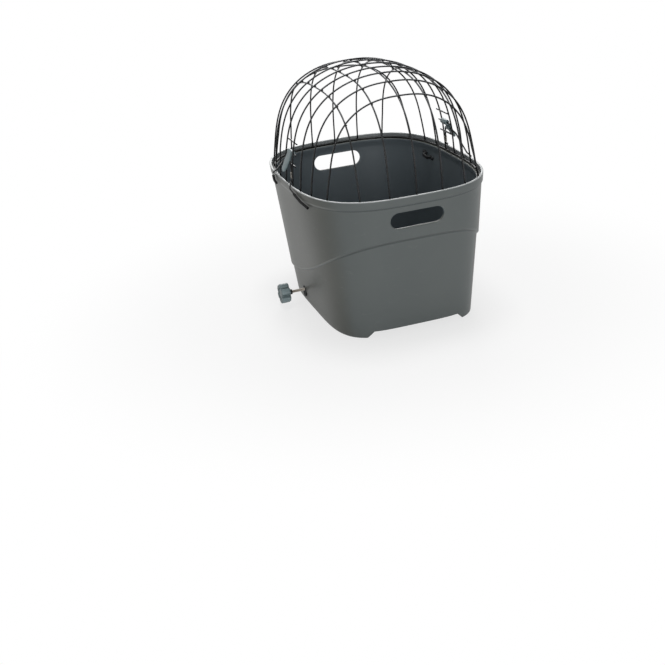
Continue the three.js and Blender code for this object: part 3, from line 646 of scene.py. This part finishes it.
def rod_ring(x, radius, threaded=False):
    """A ring of the rod; on the thread it dips once, and the dip turns on from ring to ring."""
    ring = []
    for i in range(rod_steps):
        share = i / rod_steps
        turn = 2 * math.pi * share
        reach = radius
        if threaded:
            wave = abs(((x / thread_pitch + share) % 1) - 0.5) * 2
            reach = radius - thread_depth * min(max(wave * 1.3 - 0.15, 0), 1)
        ring.append(Vector((
            x, clamp_along + reach * math.cos(turn), clamp_height + reach * math.sin(turn))))
    return ring


thread_step = thread_pitch / 4
thread_rows = int((collar_start - 0.0010 - rod_start) / thread_step)
rod_rings = [rod_ring(rod_start - 0.0004, 0.0022)]
rod_rings += [rod_ring(rod_start + i * thread_step, rod_radius, True) for i in range(thread_rows)]
rod_rings += [rod_ring(x, radius) for x, radius in (
    (collar_start - 0.0004, 0.0030), (collar_start, 0.0031), (collar_start, 0.0046),
    (collar_start + 0.0004, 0.0050), (collar_end - 0.0004, 0.0050), (collar_end, 0.0046),
    (collar_end, 0.0031), (collar_end + 0.0004, 0.0030), (rod_end - 0.0010, 0.0030),
    (rod_end, 0.0021),
)]
rod = tube_of_rings("clamp_screw", rod_rings)
smooth(rod, 0.8)
plated_steel = Finish("plated_steel", Metallic=1.0, Roughness=0.3)
cloud = plated_steel.noise(90.0, 4.0, 0.6)
turning_marks = plated_steel.noise(900.0, place=plated_steel.mapped((1.0, 0.15, 0.15)))
tone = plated_steel.mix(cloud, colour(150, 143, 134), colour(196, 190, 182))
plated_steel.paint(tone, 0.24 + 0.22 * cloud, turning_marks, 0.00004)
dress(rod, plated_steel, "knob", "clamp_rod")

plate_rings = [plate_ring(spot_face + x, growth) for x, growth in plate_profile]
flange = tube_of_rings("bush_flange", plate_rings)
bush_end = spot_face + bush_length
cut(flange, barrel("bush_body", bush_radius, spot_face - 0.0010, bush_end), "UNION")
cut(flange, barrel("bush_bore", bore_radius, spot_face - 0.0080, bush_end + bore_past, bore_sides))
smooth(flange)
dress(flange, dark_plastic, "basket", "thread_bush")

nut = barrel("knob_lock_nut", nut_radius, nut_back, nut_front, sides=6, edge=0.0006)
cut(nut, barrel("nut_bore", bore_radius, nut_back - bore_past, nut_front + bore_past, bore_sides))
smooth(nut)
dress(nut, dark_plastic, "knob", "lock_nut")
clip = barrel("rod_end_clip", clip_radius, clip_start, clip_end, sides=48, edge=0.0003)
cut(clip, barrel("clip_bore", bore_radius, clip_start - bore_past, clip_end + bore_past, bore_sides))
smooth(clip)
dress(clip, plated_steel, "knob", "rod_clip")

# Hand knob: six broad lobes with narrow flutes between them, moulded in blue-grey plastic round the
# rod's end. Painted highlights run along its crowns, painted shade lies in its flutes and over the
# middle of its end faces, and random rubbed patches lighten it.
knob_front = -0.1794
knob_length = 0.0184
knob_radius = 0.020
knob_core = 0.0154
knob_lobes = 6
flute_power = 3.5
knob_steps = 144
knob_rows = 6
socket_radius = 0.0035
socket_depth = 0.0130
knob_round = 0.0018
knob_rim = [
    (0.0000, 0.0150), (0.0000, 0.0050), (0.0000, 0.0022), (0.0003, 0.0011), (0.0009, 0.0003),
    (knob_round, 0.0000),
]
knob_dish = [
    (0.0000, 0.0060), (0.0003, 0.0066), (0.0009, 0.0069), (0.0012, 0.0076), (0.0012, 0.0150),
]


def knob_ring(x, inset):
    ring = []
    for i in range(knob_steps):
        turn = 2 * math.pi * i / knob_steps
        wave = (1 - math.cos(knob_lobes * turn)) / 2
        reach = knob_radius - inset - (knob_radius - knob_core) * wave ** flute_power
        ring.append(Vector((
            x, clamp_along + reach * math.sin(turn), clamp_height + reach * math.cos(turn))))
    return ring


knob_back = knob_front - knob_length
knob_rings = [knob_ring(knob_front - depth, inset) for depth, inset in knob_rim]
for i in range(1, knob_rows):
    x = between(knob_front - knob_round, knob_back + knob_round, i / knob_rows)
    knob_rings.append(knob_ring(x, 0))
knob_rings += [knob_ring(knob_back + depth, inset) for depth, inset in reversed(knob_rim[1:])]
knob_rings += [knob_ring(knob_back + depth, inset) for depth, inset in knob_dish]
knob = tube_of_rings("hand_knob", knob_rings)
socket_end = knob_front - socket_depth
cut(knob, barrel("knob_socket", socket_radius, socket_end, knob_front + bore_past, bore_sides))
smooth(knob)

grip_plastic = Finish("grip_plastic", Roughness=0.4)
grain = grip_plastic.noise(1600.0)
rub = grip_plastic.band(grip_plastic.noise(160.0, 4.0, 0.7), 0.6, 0.75)
round_axis = grip_plastic.mapped((0.0, 1.0, 1.0), (0.0, -clamp_along, -clamp_height))
from_axis = grip_plastic.length(round_axis)
flute_shade = grip_plastic.band(from_axis, knob_radius - 0.0006, knob_core)
crown_highlight = grip_plastic.line(from_axis - knob_radius, 0.0009)
tone = grip_plastic.mix(grip_plastic.noise(40.0, 3.0), colour(98, 114, 117), colour(113, 129, 132))
# Painted shade in the flutes and over the middle of the end faces, and a painted highlight along the
# lobes' crowns.
tone = grip_plastic.mix(flute_shade * 0.45, tone, colour(66, 80, 80))
tone = grip_plastic.mix(crown_highlight * 0.5, tone, colour(136, 152, 155))
tone = grip_plastic.mix(rub * 0.25, tone, colour(142, 156, 157))
grip_plastic.paint(tone, 0.36 + 0.16 * grain - 0.05 * rub, grain, 0.00008)
dress(knob, grip_plastic, "knob", "clamp_knob")


# Jaws: two dark plastic plates under the floor, each with a lip that reaches under a tube of the
# carrier. The left one runs on the rod, and the right one is held by two cross-head screws of
# dulled zinc through the floor.
for node, name, body in (
    ("moving_jaw", "sliding_jaw", "jaw"),
    ("fixed_jaw", "screwed_jaw", "basket"),
):
    jaw = dressed_copy(node, name, edge=0.0006)
    dress(jaw, dark_plastic, body, node)

head_radius = 0.0045
head_height = 0.0025
shank_radius = 0.0019
shank_inset = 0.001
cross_length, cross_width, cross_depth = 0.0052, 0.0010, 0.0015
dull_zinc = Finish("zinc_screw", Metallic=1.0, Roughness=0.4)
cloud = dull_zinc.noise(240.0, 3.0)
tone = dull_zinc.mix(cloud, colour(92, 91, 88), colour(124, 122, 118))
dull_zinc.paint(tone, 0.34 + 0.16 * cloud)
for i in (1, 2):
    low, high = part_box(f"jaw_screw_{i}")
    middle = middle_of(f"jaw_screw_{i}")
    head_top = high[2]
    shank_length = head_top - shank_inset - low[2]
    head_middle = (middle.x, middle.y, head_top - head_height / 2)
    shank_middle = (middle.x, middle.y, low[2] + shank_length / 2)
    screw = cylinder(f"jaw_screw_head_{i}", "Z", head_radius, head_height, head_middle, 48, 0.0008)
    cut(screw, cylinder("shank", "Z", shank_radius, shank_length, shank_middle, 32), "UNION")
    for across, along in ((cross_length, cross_width), (cross_width, cross_length)):
        bpy.ops.object.select_all(action="DESELECT")
        bpy.ops.mesh.primitive_cube_add(
            size=1, location=(middle.x, middle.y, head_top), scale=(across, along, 2 * cross_depth))
        cross = name_new("cross")
        settle()
        cut(screw, cross)
    smooth(screw)
    dress(screw, dull_zinc, "basket", f"jaw_screw_{i}")


# Dome: thin steel wires under a black plastic coat. Five run lengthwise and nine run across over
# them, each bent to an arch, and all are welded to one round ring that lies on the tub's ledge.
wire_radius = 0.0015
ring_radius = 0.002
seat_gap = 0.0003
weld_gap = 0.0005
dome_top = 0.449
middle_height = 0.307
long_spacing = 0.278 * rim_half_width
across_spacing = 0.176 * rim_half_length
ring_squareness, arch_squareness = 2.95, 2.60
side_lean, end_lean = 0.141, 0.022
side_crown, end_crown = (4.1, 2.04), (3.14, 2.82)
leg_steps = 6
arch_steps = 36
ring_steps = 180
wire_smoothing = 0.9
beyond_dome = 0.7
halvings = 40
ring_height = ledge_top + seat_gap + ring_radius
ring_inset = lip_width + seat_gap + ring_radius
wire_foot = ring_height + ring_radius + wire_radius / 2
across_growth = 2 * wire_radius + weld_gap
ring_half_width, ring_half_length, _ = tub_sizes(ring_height, ring_inset)


def dome_sizes(height, growth):
    """The dome's half width, half length and squareness; growth puts the crossing wires outside."""
    climb = max(height - wire_foot, 0)
    leg = min(climb / (middle_height - wire_foot), 1)
    rise = min(climb / (dome_top + growth - wire_foot), 1)
    sizes = []
    for half, lean, (power, root) in (
        (ring_half_width, side_lean, side_crown),
        (ring_half_length, end_lean, end_crown),
    ):
        sizes.append((half + growth * leg - lean * climb) * (1 - rise ** power) ** (1 / root))
    return (*sizes, between(ring_squareness, arch_squareness, leg))


def inside_dome(x, y, z, growth):
    if z >= dome_top + growth:
        return False
    half_width, half_length, squareness = dome_sizes(z, growth)
    return (abs(x) / half_width) ** squareness + (abs(y) / half_length) ** squareness < 1


def reach_of(is_inside):
    """The furthest reach that is still inside, by halving."""
    near, far = 0.0, beyond_dome
    for _ in range(halvings):
        middle = (near + far) / 2
        if is_inside(middle):
            near = middle
        else:
            far = middle
    return near


def arch(is_inside):
    """An upright section of the dome: its legs up to the middle height, and the arch over it."""
    half = []
    for i in range(leg_steps):
        z = between(wire_foot, middle_height, i / leg_steps)
        half.append((reach_of(lambda reach: is_inside(reach, z)), z))
    for i in range(arch_steps + 1):
        across = math.cos(math.pi / 2 * i / arch_steps)
        up = math.sin(math.pi / 2 * i / arch_steps)
        reach = reach_of(lambda r: is_inside(r * across, middle_height + r * up))
        half.append((reach * across, middle_height + reach * up))
    return half + [(-across, z) for across, z in reversed(half[:-1])]


def straight_edge(count):
    """An edge along X, parted evenly by count points, or by 102 where count is more, because the
    operator makes 100 cuts at most."""
    bpy.ops.mesh.primitive_plane_add(size=2)
    bpy.ops.object.mode_set(mode="EDIT")
    bpy.ops.mesh.select_mode(type="VERT")
    bpy.ops.mesh.select_all(action="DESELECT")
    bpy.ops.object.mode_set(mode="OBJECT")
    for vertex in bpy.context.object.data.vertices:
        vertex.select = vertex.co.y > 0
    bpy.ops.object.mode_set(mode="EDIT")
    bpy.ops.mesh.delete(type="VERT")
    bpy.ops.mesh.select_all(action="SELECT")
    bpy.ops.mesh.subdivide(number_cuts=count - 2)
    bpy.ops.object.mode_set(mode="OBJECT")


def turn_of(vertex):
    return math.atan2(vertex.co.y, vertex.co.x) % (2 * math.pi)


def bend_wire(name, points, radius, closed=False, sides=12):
    """An edge or a circle is bent along the points and given a round section. An open wire takes
    the first 102 of its points, and a longer path loses its end."""
    bpy.ops.object.select_all(action="DESELECT")
    if closed:
        bpy.ops.mesh.primitive_circle_add(vertices=len(points), radius=1)
        vertices = sorted(bpy.context.object.data.vertices, key=turn_of)
    else:
        straight_edge(len(points))
        vertices = sorted(bpy.context.object.data.vertices, key=lambda vertex: vertex.co.x)
    for vertex, point in zip(vertices, points):
        vertex.co = point
    bpy.ops.object.convert(target="CURVE")
    curve = bpy.context.object.data
    curve.bevel_depth = radius
    curve.bevel_resolution = (sides - 4) // 2
    curve.use_fill_caps = not closed
    bpy.ops.object.convert(target="MESH")
    piece = name_new(name)
    merge_close_points(piece)
    edit_all(piece)
    bpy.ops.mesh.normals_make_consistent(inside=False)
    bpy.ops.object.mode_set(mode="OBJECT")
    settle()
    smooth(piece, wire_smoothing)
    return piece


wire_coat = Finish("coated_wire", Roughness=0.25, Specular_IOR_Level=0.22)
drift = wire_coat.noise(60.0, 3.0)
# Painted highlight: high on the dome, the wires' upward faces are lighter.
high_up = wire_coat.band(wire_coat.part(wire_coat.place, "Z"), 0.33, 0.45)
top_highlight = wire_coat.band(wire_coat.part(wire_coat.normal(), "Z"), 0.0, 0.9) * high_up
tone = wire_coat.mix(drift, colour(12, 13, 14), colour(22, 23, 24))
tone = wire_coat.mix(top_highlight * 0.8, tone, colour(104, 107, 110))
wire_coat.paint(tone, 0.20 + 0.12 * drift, wire_coat.noise(900.0), 0.000015)

ring_turns = [2 * math.pi * i / ring_steps for i in range(ring_steps)]
ring_points = [
    oval_point(turn, ring_half_width, ring_half_length, ring_squareness, ring_height)
    for turn in ring_turns
]
ring = bend_wire("dome_foot_ring", ring_points, ring_radius, closed=True)
dress(ring, wire_coat, "dome", "dome_ring")

long_places = [(i - 2) * long_spacing for i in range(5)]
across_places = [(i - 4) * across_spacing for i in range(9)]
for i, x in enumerate(long_places, 1):
    points = [Vector((x, y, z)) for y, z in arch(lambda y, z: inside_dome(x, y, z, 0))]
    wire = bend_wire(f"lengthwise_wire_{i}", points, wire_radius)
    dress(wire, wire_coat, "dome", f"long_wire_{i}")
for i, y in enumerate(across_places, 1):
    points = [Vector((x, y, z)) for x, z in arch(lambda x, z: inside_dome(x, y, z, across_growth))]
    wire = bend_wire(f"crosswise_wire_{i}", points, wire_radius)
    dress(wire, wire_coat, "dome", f"cross_wire_{i}")

# Weld beads: the wires are spot-welded where they cross and where each foot meets the ring, and
# the coat runs together over the welds in small beads.
bead_radius = 0.0018
bead_shape = (1.15, 1.15, 0.9)


def dome_point(x, y, growth):
    rise = reach_of(lambda climb: inside_dome(x, y, wire_foot + climb, growth))
    return Vector((x, y, wire_foot + rise))


bead_places = []
for x in long_places:
    for y in across_places:
        bead_places.append((dome_point(x, y, 0) + dome_point(x, y, across_growth)) / 2)
bead_height = wire_foot - wire_radius / 2
for mirror in (1, -1):
    for x in long_places:
        reach = reach_of(lambda y: inside_dome(x, y, wire_foot, 0))
        bead_places.append(Vector((x, mirror * reach, bead_height)))
    for y in across_places:
        reach = reach_of(lambda x: inside_dome(x, y, wire_foot, across_growth))
        bead_places.append(Vector((mirror * reach, y, bead_height)))
bpy.ops.object.select_all(action="DESELECT")
bpy.ops.mesh.primitive_uv_sphere_add(
    segments=12, ring_count=8, radius=bead_radius, scale=bead_shape)
bead = name_new("weld_bead")
settle()
beads = []
for place in bead_places:
    select_only(bead)
    bpy.ops.object.duplicate()
    beads.append(bpy.context.object)
    beads[-1].location = place
    settle()
bpy.data.objects.remove(bead)
welds = join(beads)
welds.name = welds.data.name = "dome_welds"
smooth(welds, wire_smoothing)
dress(welds, wire_coat, "dome")


# Rungs: three short wires of the same coated steel at each side, welded inside two of the wires
# that run across. The middle one is the pin that the latch's lever turns on.
pivot_height = 0.315
rung_spacing = 0.0207
rung_overhang = 0.006


def cross_wire_x(height, along):
    half_width, half_length, squareness = dome_sizes(height, across_growth)
    return oval_reach(half_width, along, half_length, squareness)


def rung_reach(height):
    return cross_wire_x(height, across_spacing) - 2 * wire_radius - weld_gap


for level, step in (("low", -1), ("middle", 0), ("high", 1)):
    z = pivot_height + step * rung_spacing
    for side, mirror in (("left", -1), ("right", 1)):
        stretch = (-rung_overhang, across_spacing / 2, across_spacing + rung_overhang)
        points = [Vector((mirror * rung_reach(z), mirror * y, z)) for y in stretch]
        rung = bend_wire(f"latch_rung_{level}_{side}", points, wire_radius)
        dress(rung, wire_coat, "dome", f"rung_{level}_{side}")


# Latches: a lever moulded like the knob turns on the middle rung and pulls a bail up over its own
# pivot. It has a blade to push on, a hub for the rung and a lug for the bail. The right latch is
# the left one turned half round.
lever_lean = math.radians(27)
lever_along = -0.019
lever_width = 0.023
lever_end_width = 0.0195
lever_thickness = 0.0035
lever_drop = 0.038
lever_rise = 0.0044
lever_edge = [(0.0000, 0.0012), (0.0003, 0.0004), (0.0009, 0.0000)]
blade_shift = 0.0024
hub_radius = 0.0050
lug_radius = 0.0034
lug_inset = 0.006
lever_arc_steps = 24
lever_bore_length = 0.05
pivot_x = rung_reach(pivot_height)
bar_drop = 0.014
bar_x = pivot_x + bar_drop * math.tan(lever_lean)
bar_height = pivot_height - bar_drop


def lever_outline(inset):
    half = lever_width / 2 - inset
    end_half = lever_end_width / 2 - inset
    end_centre = lever_end_width / 2 - lever_drop
    side = [(half, lever_rise - inset), (half, -lever_drop / 2)]
    turns = [math.pi * i / lever_arc_steps for i in range(lever_arc_steps + 1)]
    arc = [(end_half * math.cos(t), end_centre - end_half * math.sin(t)) for t in turns]
    return side + arc + [(-y, z) for y, z in reversed(side)]


def lever_ring(across, inset):
    ring = []
    for y, z in lever_outline(inset):
        place = Vector((across - blade_shift, 0, z))
        place.rotate(Matrix.Rotation(lever_lean, 3, "Y"))
        ring.append(place + Vector((-pivot_x, lever_along + y, pivot_height)))
    return ring


def lever_bar(name, radius, length, x, z, sides, edge=0.0):
    """A cylinder that lies along the lever's width."""
    return cylinder(name, "Y", radius, length, (x, lever_along, z), sides, edge)


def dress_pair(piece, name, finish, node):
    """The piece goes on the left, and a copy turned half round the tub's middle on the right."""
    select_only(piece)
    bpy.ops.object.duplicate()
    other = bpy.context.object
    bpy.ops.transform.rotate(value=math.pi, orient_axis="Z", center_override=(0, 0, 0))
    settle()
    for side, member in (("left", piece), ("right", other)):
        member.name = member.data.name = f"{name}_{side}"
        dress(member, finish, f"latch_{side}", f"{node}_{side}")


half_thick = lever_thickness / 2
lever_rings = [lever_ring(-half_thick + depth, inset) for depth, inset in lever_edge]
lever_rings += [lever_ring(half_thick - depth, inset) for depth, inset in reversed(lever_edge)]
lever = tube_of_rings("lever", lever_rings)
hub = lever_bar("hub", hub_radius, lever_width, -pivot_x, pivot_height, 48, 0.0006)
cut(lever, hub, "UNION")
lug = lever_bar("lug", lug_radius, lever_width - lug_inset, -bar_x, bar_height, 40, 0.0004)
cut(lever, lug, "UNION")
for x, z in ((-pivot_x, pivot_height), (-bar_x, bar_height)):
    cut(lever, lever_bar("bore", wire_radius + seat_gap, lever_bore_length, x, z, 40))
smooth(lever)
dress_pair(lever, "closing_lever", grip_plastic, "latch_lever")

# Bail: one bent wire of the coated steel. Its bar lies in the lever's lug, a rail drops from the bar
# to the rim, and its two legs pass over the lip and hook under the tub's band.
sleeve_radius = 0.003
band_bottom = 0.245
lip_round = 0.0022
bend_reach = 0.003
bend_steps = 8
rail_along = -0.0335
bar_end = -0.005
rear_tip, rear_crossing, front_crossing, front_tip = -0.121, -0.054, 0.059, 0.052
rear_drop = 0.024
front_drop = 0.021
rail_foot = rim_top + 2 * sleeve_radius
outside_gap = sleeve_radius + 3 * seat_gap
over_lip_x = rim_half_width - lip_round / 2
over_lip_height = rim_top + wire_radius + 3 * seat_gap
pass_x = cross_wire_x(rail_foot, 0) + 2 * wire_radius + weld_gap


def beside_wall(y, z):
    """The place of a leg's middle beside the left wall, square to it."""
    inset = upper_inset if z < band_bottom - sleeve_radius else 0
    half_width, half_length, squareness = tub_sizes(z, inset)

    def wall_x(along):
        return oval_reach(half_width, along, half_length, squareness)

    slope = (wall_x(y + seat_gap) - wall_x(y - seat_gap)) / (2 * seat_gap)
    out = Vector((1, -slope, 0)).normalized()
    return Vector((-wall_x(y) - outside_gap * out.x, y + outside_gap * out.y, z))


def rounded_path(corners):
    """The path through the corners, with a short curve at each."""
    path = [corners[0]]
    for before, corner, after in zip(corners, corners[1:], corners[2:]):
        start, end = [
            corner + (other - corner).normalized() * min(bend_reach, (other - corner).length / 3)
            for other in (before, after)
        ]
        for i in range(bend_steps + 1):
            share = i / bend_steps
            path.append(start.lerp(corner, share).lerp(corner.lerp(end, share), share))
    return path + [corners[-1]]


rear_leg = []
for i in range(4):
    y = between(rear_tip, rear_crossing, i / 3)
    z = rim_top - rear_drop + (rear_drop - lip_round) * i / 3
    rear_leg.append(beside_wall(y, z))
bail_path = rounded_path(rear_leg + [
    Vector((-over_lip_x, rear_crossing + 2 * sleeve_radius, over_lip_height)),
    Vector((-pass_x, rail_along - 2 * wire_radius, (over_lip_height + rail_foot) / 2)),
    Vector((-bar_x, rail_along, rail_foot)),
    Vector((-bar_x, rail_along, bar_height)),
    Vector((-bar_x, bar_end, bar_height)),
    Vector((-pass_x, 2 * wire_radius, bar_height - 2 * bend_reach)),
    Vector((-pass_x, front_crossing - 2 * sleeve_radius, rail_foot)),
    Vector((-over_lip_x, front_crossing, over_lip_height)),
    beside_wall(front_crossing, rim_top - lip_round),
    beside_wall(front_crossing, band_bottom),
    beside_wall(front_tip, rim_top - front_drop),
])
# The path has 119 points and the wire takes the first 102, so it ends 4 mm short of the sleeve
# on the front leg.
bail = bend_wire("bail", bail_path, wire_radius)
dress_pair(bail, "hooked_bail", wire_coat, "latch_bail")

# Sleeves: soft black tubes with fine ribs, pushed over the ends of the bail's legs so that they
# grip under the band without marking the tub.
sleeve_skin_radius = 0.0026
rib_pitch = 0.0024
rear_bends = 2
front_bends = 1
sleeve_rubber = Finish("soft_sleeve", Roughness=0.6, Specular_IOR_Level=0.2)
bloom = sleeve_rubber.noise(120.0, 3.0)
ribs = sleeve_rubber.node("ShaderNodeTexWave", {"bands_direction": "Y", "wave_profile": "SIN"},
                          output=1, Vector=sleeve_rubber.place,
                          Scale=math.pi / (10 * rib_pitch))
tone = sleeve_rubber.mix(bloom, colour(11, 12, 13), colour(20, 21, 22))
sleeve_rubber.paint(tone, 0.50 + 0.2 * bloom, ribs, 0.0005)
rear_points = 1 + rear_bends * (bend_steps + 1)
front_points = 2 + front_bends * (bend_steps + 1)
rear_sleeve = bend_wire("rear_sleeve", bail_path[:rear_points], sleeve_skin_radius)
dress_pair(rear_sleeve, "rear_leg_sleeve", sleeve_rubber, "rear_sleeve")
front_sleeve = bend_wire("front_sleeve", bail_path[-front_points:], sleeve_skin_radius)
dress_pair(front_sleeve, "front_leg_sleeve", sleeve_rubber, "front_sleeve")

# Spring: eleven curls of thin bare steel round the bail's upright rail, between its two bends. It
# keeps the latch tight.
spring_wire = 0.0005
spring_curls = 11
curl_steps = 20
spring_start = rail_foot + bend_reach + spring_wire
spring_end = bar_height - bend_reach - spring_wire
spring_reach = wire_radius + seat_gap + spring_wire
spring_path = []
for i in range(spring_curls * curl_steps + 1):
    turn = 2 * math.pi * i / curl_steps
    spring_path.append(Vector((
        -bar_x + spring_reach * math.cos(turn),
        rail_along + spring_reach * math.sin(turn),
        between(spring_start, spring_end, i / (spring_curls * curl_steps)),
    )))
# The path has 221 points and the wire takes the first 102, so the mesh holds five of the curls.
spring = bend_wire("spring", spring_path, spring_wire, sides=8)
spring_steel = Finish("spring_steel", Metallic=1.0, Roughness=0.3)
cloud = spring_steel.noise(200.0, 3.0)
tone = spring_steel.mix(cloud, colour(128, 124, 116), colour(174, 168, 158))
spring_steel.paint(tone, 0.24 + 0.16 * cloud)
dress_pair(spring, "rail_spring", spring_steel, "latch_spring")


# Floor, surround and lamps: a pale floor that keeps the basket's shadow and turns to plain white
# further out, a white surround, and soft square lamps at the left, front, top and back.
floor_gap = 0.0004
floor_clear = 0.24
floor_white = 0.75
floor_least = 0.72
floor_size = 60
floor_grey = (0.93, 0.93, 0.93, 1)
plain_white = (1, 1, 1, 1)
surround_light = 0.155
bpy.ops.object.select_all(action="DESELECT")
bpy.ops.mesh.primitive_plane_add(size=floor_size, location=(0, 0, foot_level - floor_gap))
floor = name_new("floor")
settle()


def white_ray(tree):
    """1 where the ray comes from the camera, a mirror or glass, 0 for the light on the basket."""
    rays = tree.nodes.new("ShaderNodeLightPath")
    seen = Shade(tree, rays.outputs["Is Camera Ray"])
    mirrored = Shade(tree, rays.outputs["Is Glossy Ray"])
    through = Shade(tree, rays.outputs["Is Transmission Ray"])
    return seen.larger(mirrored).larger(through)


pale_floor = Finish("pale_floor", Roughness=0.9, Specular_IOR_Level=0.1, Base_Color=floor_grey)
further_out = pale_floor.band(pale_floor.length(pale_floor.place), floor_clear, floor_white)
white_share = (floor_least + (1 - floor_least) * further_out) * white_ray(pale_floor.tree)
glow = pale_floor.node("ShaderNodeEmission", Color=plain_white, Strength=1.0)
lit_floor = Shade(pale_floor.tree, pale_floor.shader.outputs[0])
floor_mix = pale_floor.node("ShaderNodeMixShader", i0=white_share, i1=lit_floor, i2=glow)
floor_end = pale_floor.tree.nodes["Material Output"].inputs["Surface"]
pale_floor.tree.links.new(floor_mix.socket, floor_end)
floor.data.materials.append(pale_floor.material)

lamps_aim = Vector((0, 0, 0.2))
for name, place, size, power in (
    ("key", (-2.7, 0.7, 0.8), 1.3, 4),
    ("fill", (-0.4, -3.0, 0.6), 1.6, 38),
    ("top", (0.1, 0.2, 3.2), 1.3, 50),
    ("back", (0.8, 2.6, 1.15), 1.2, 26),
):
    lamp_data = bpy.data.lights.new(name, "AREA")
    lamp_data.size = size
    lamp_data.energy = power
    lamp = bpy.data.objects.new(name, lamp_data)
    bpy.context.scene.collection.objects.link(lamp)
    lamp.location = place
    lamp.rotation_euler = (lamps_aim - Vector(place)).to_track_quat("-Z", "Y").to_euler()

world = bpy.data.worlds.new("studio")
bpy.context.scene.world = world
world.use_nodes = True
sky = world.node_tree.nodes["Background"]
sky.inputs["Color"].default_value = plain_white
sky_strength = surround_light + (1 - surround_light) * white_ray(world.node_tree)
world.node_tree.links.new(sky_strength.socket, sky.inputs["Strength"])
bpy.context.scene.view_settings.view_transform = "Standard"
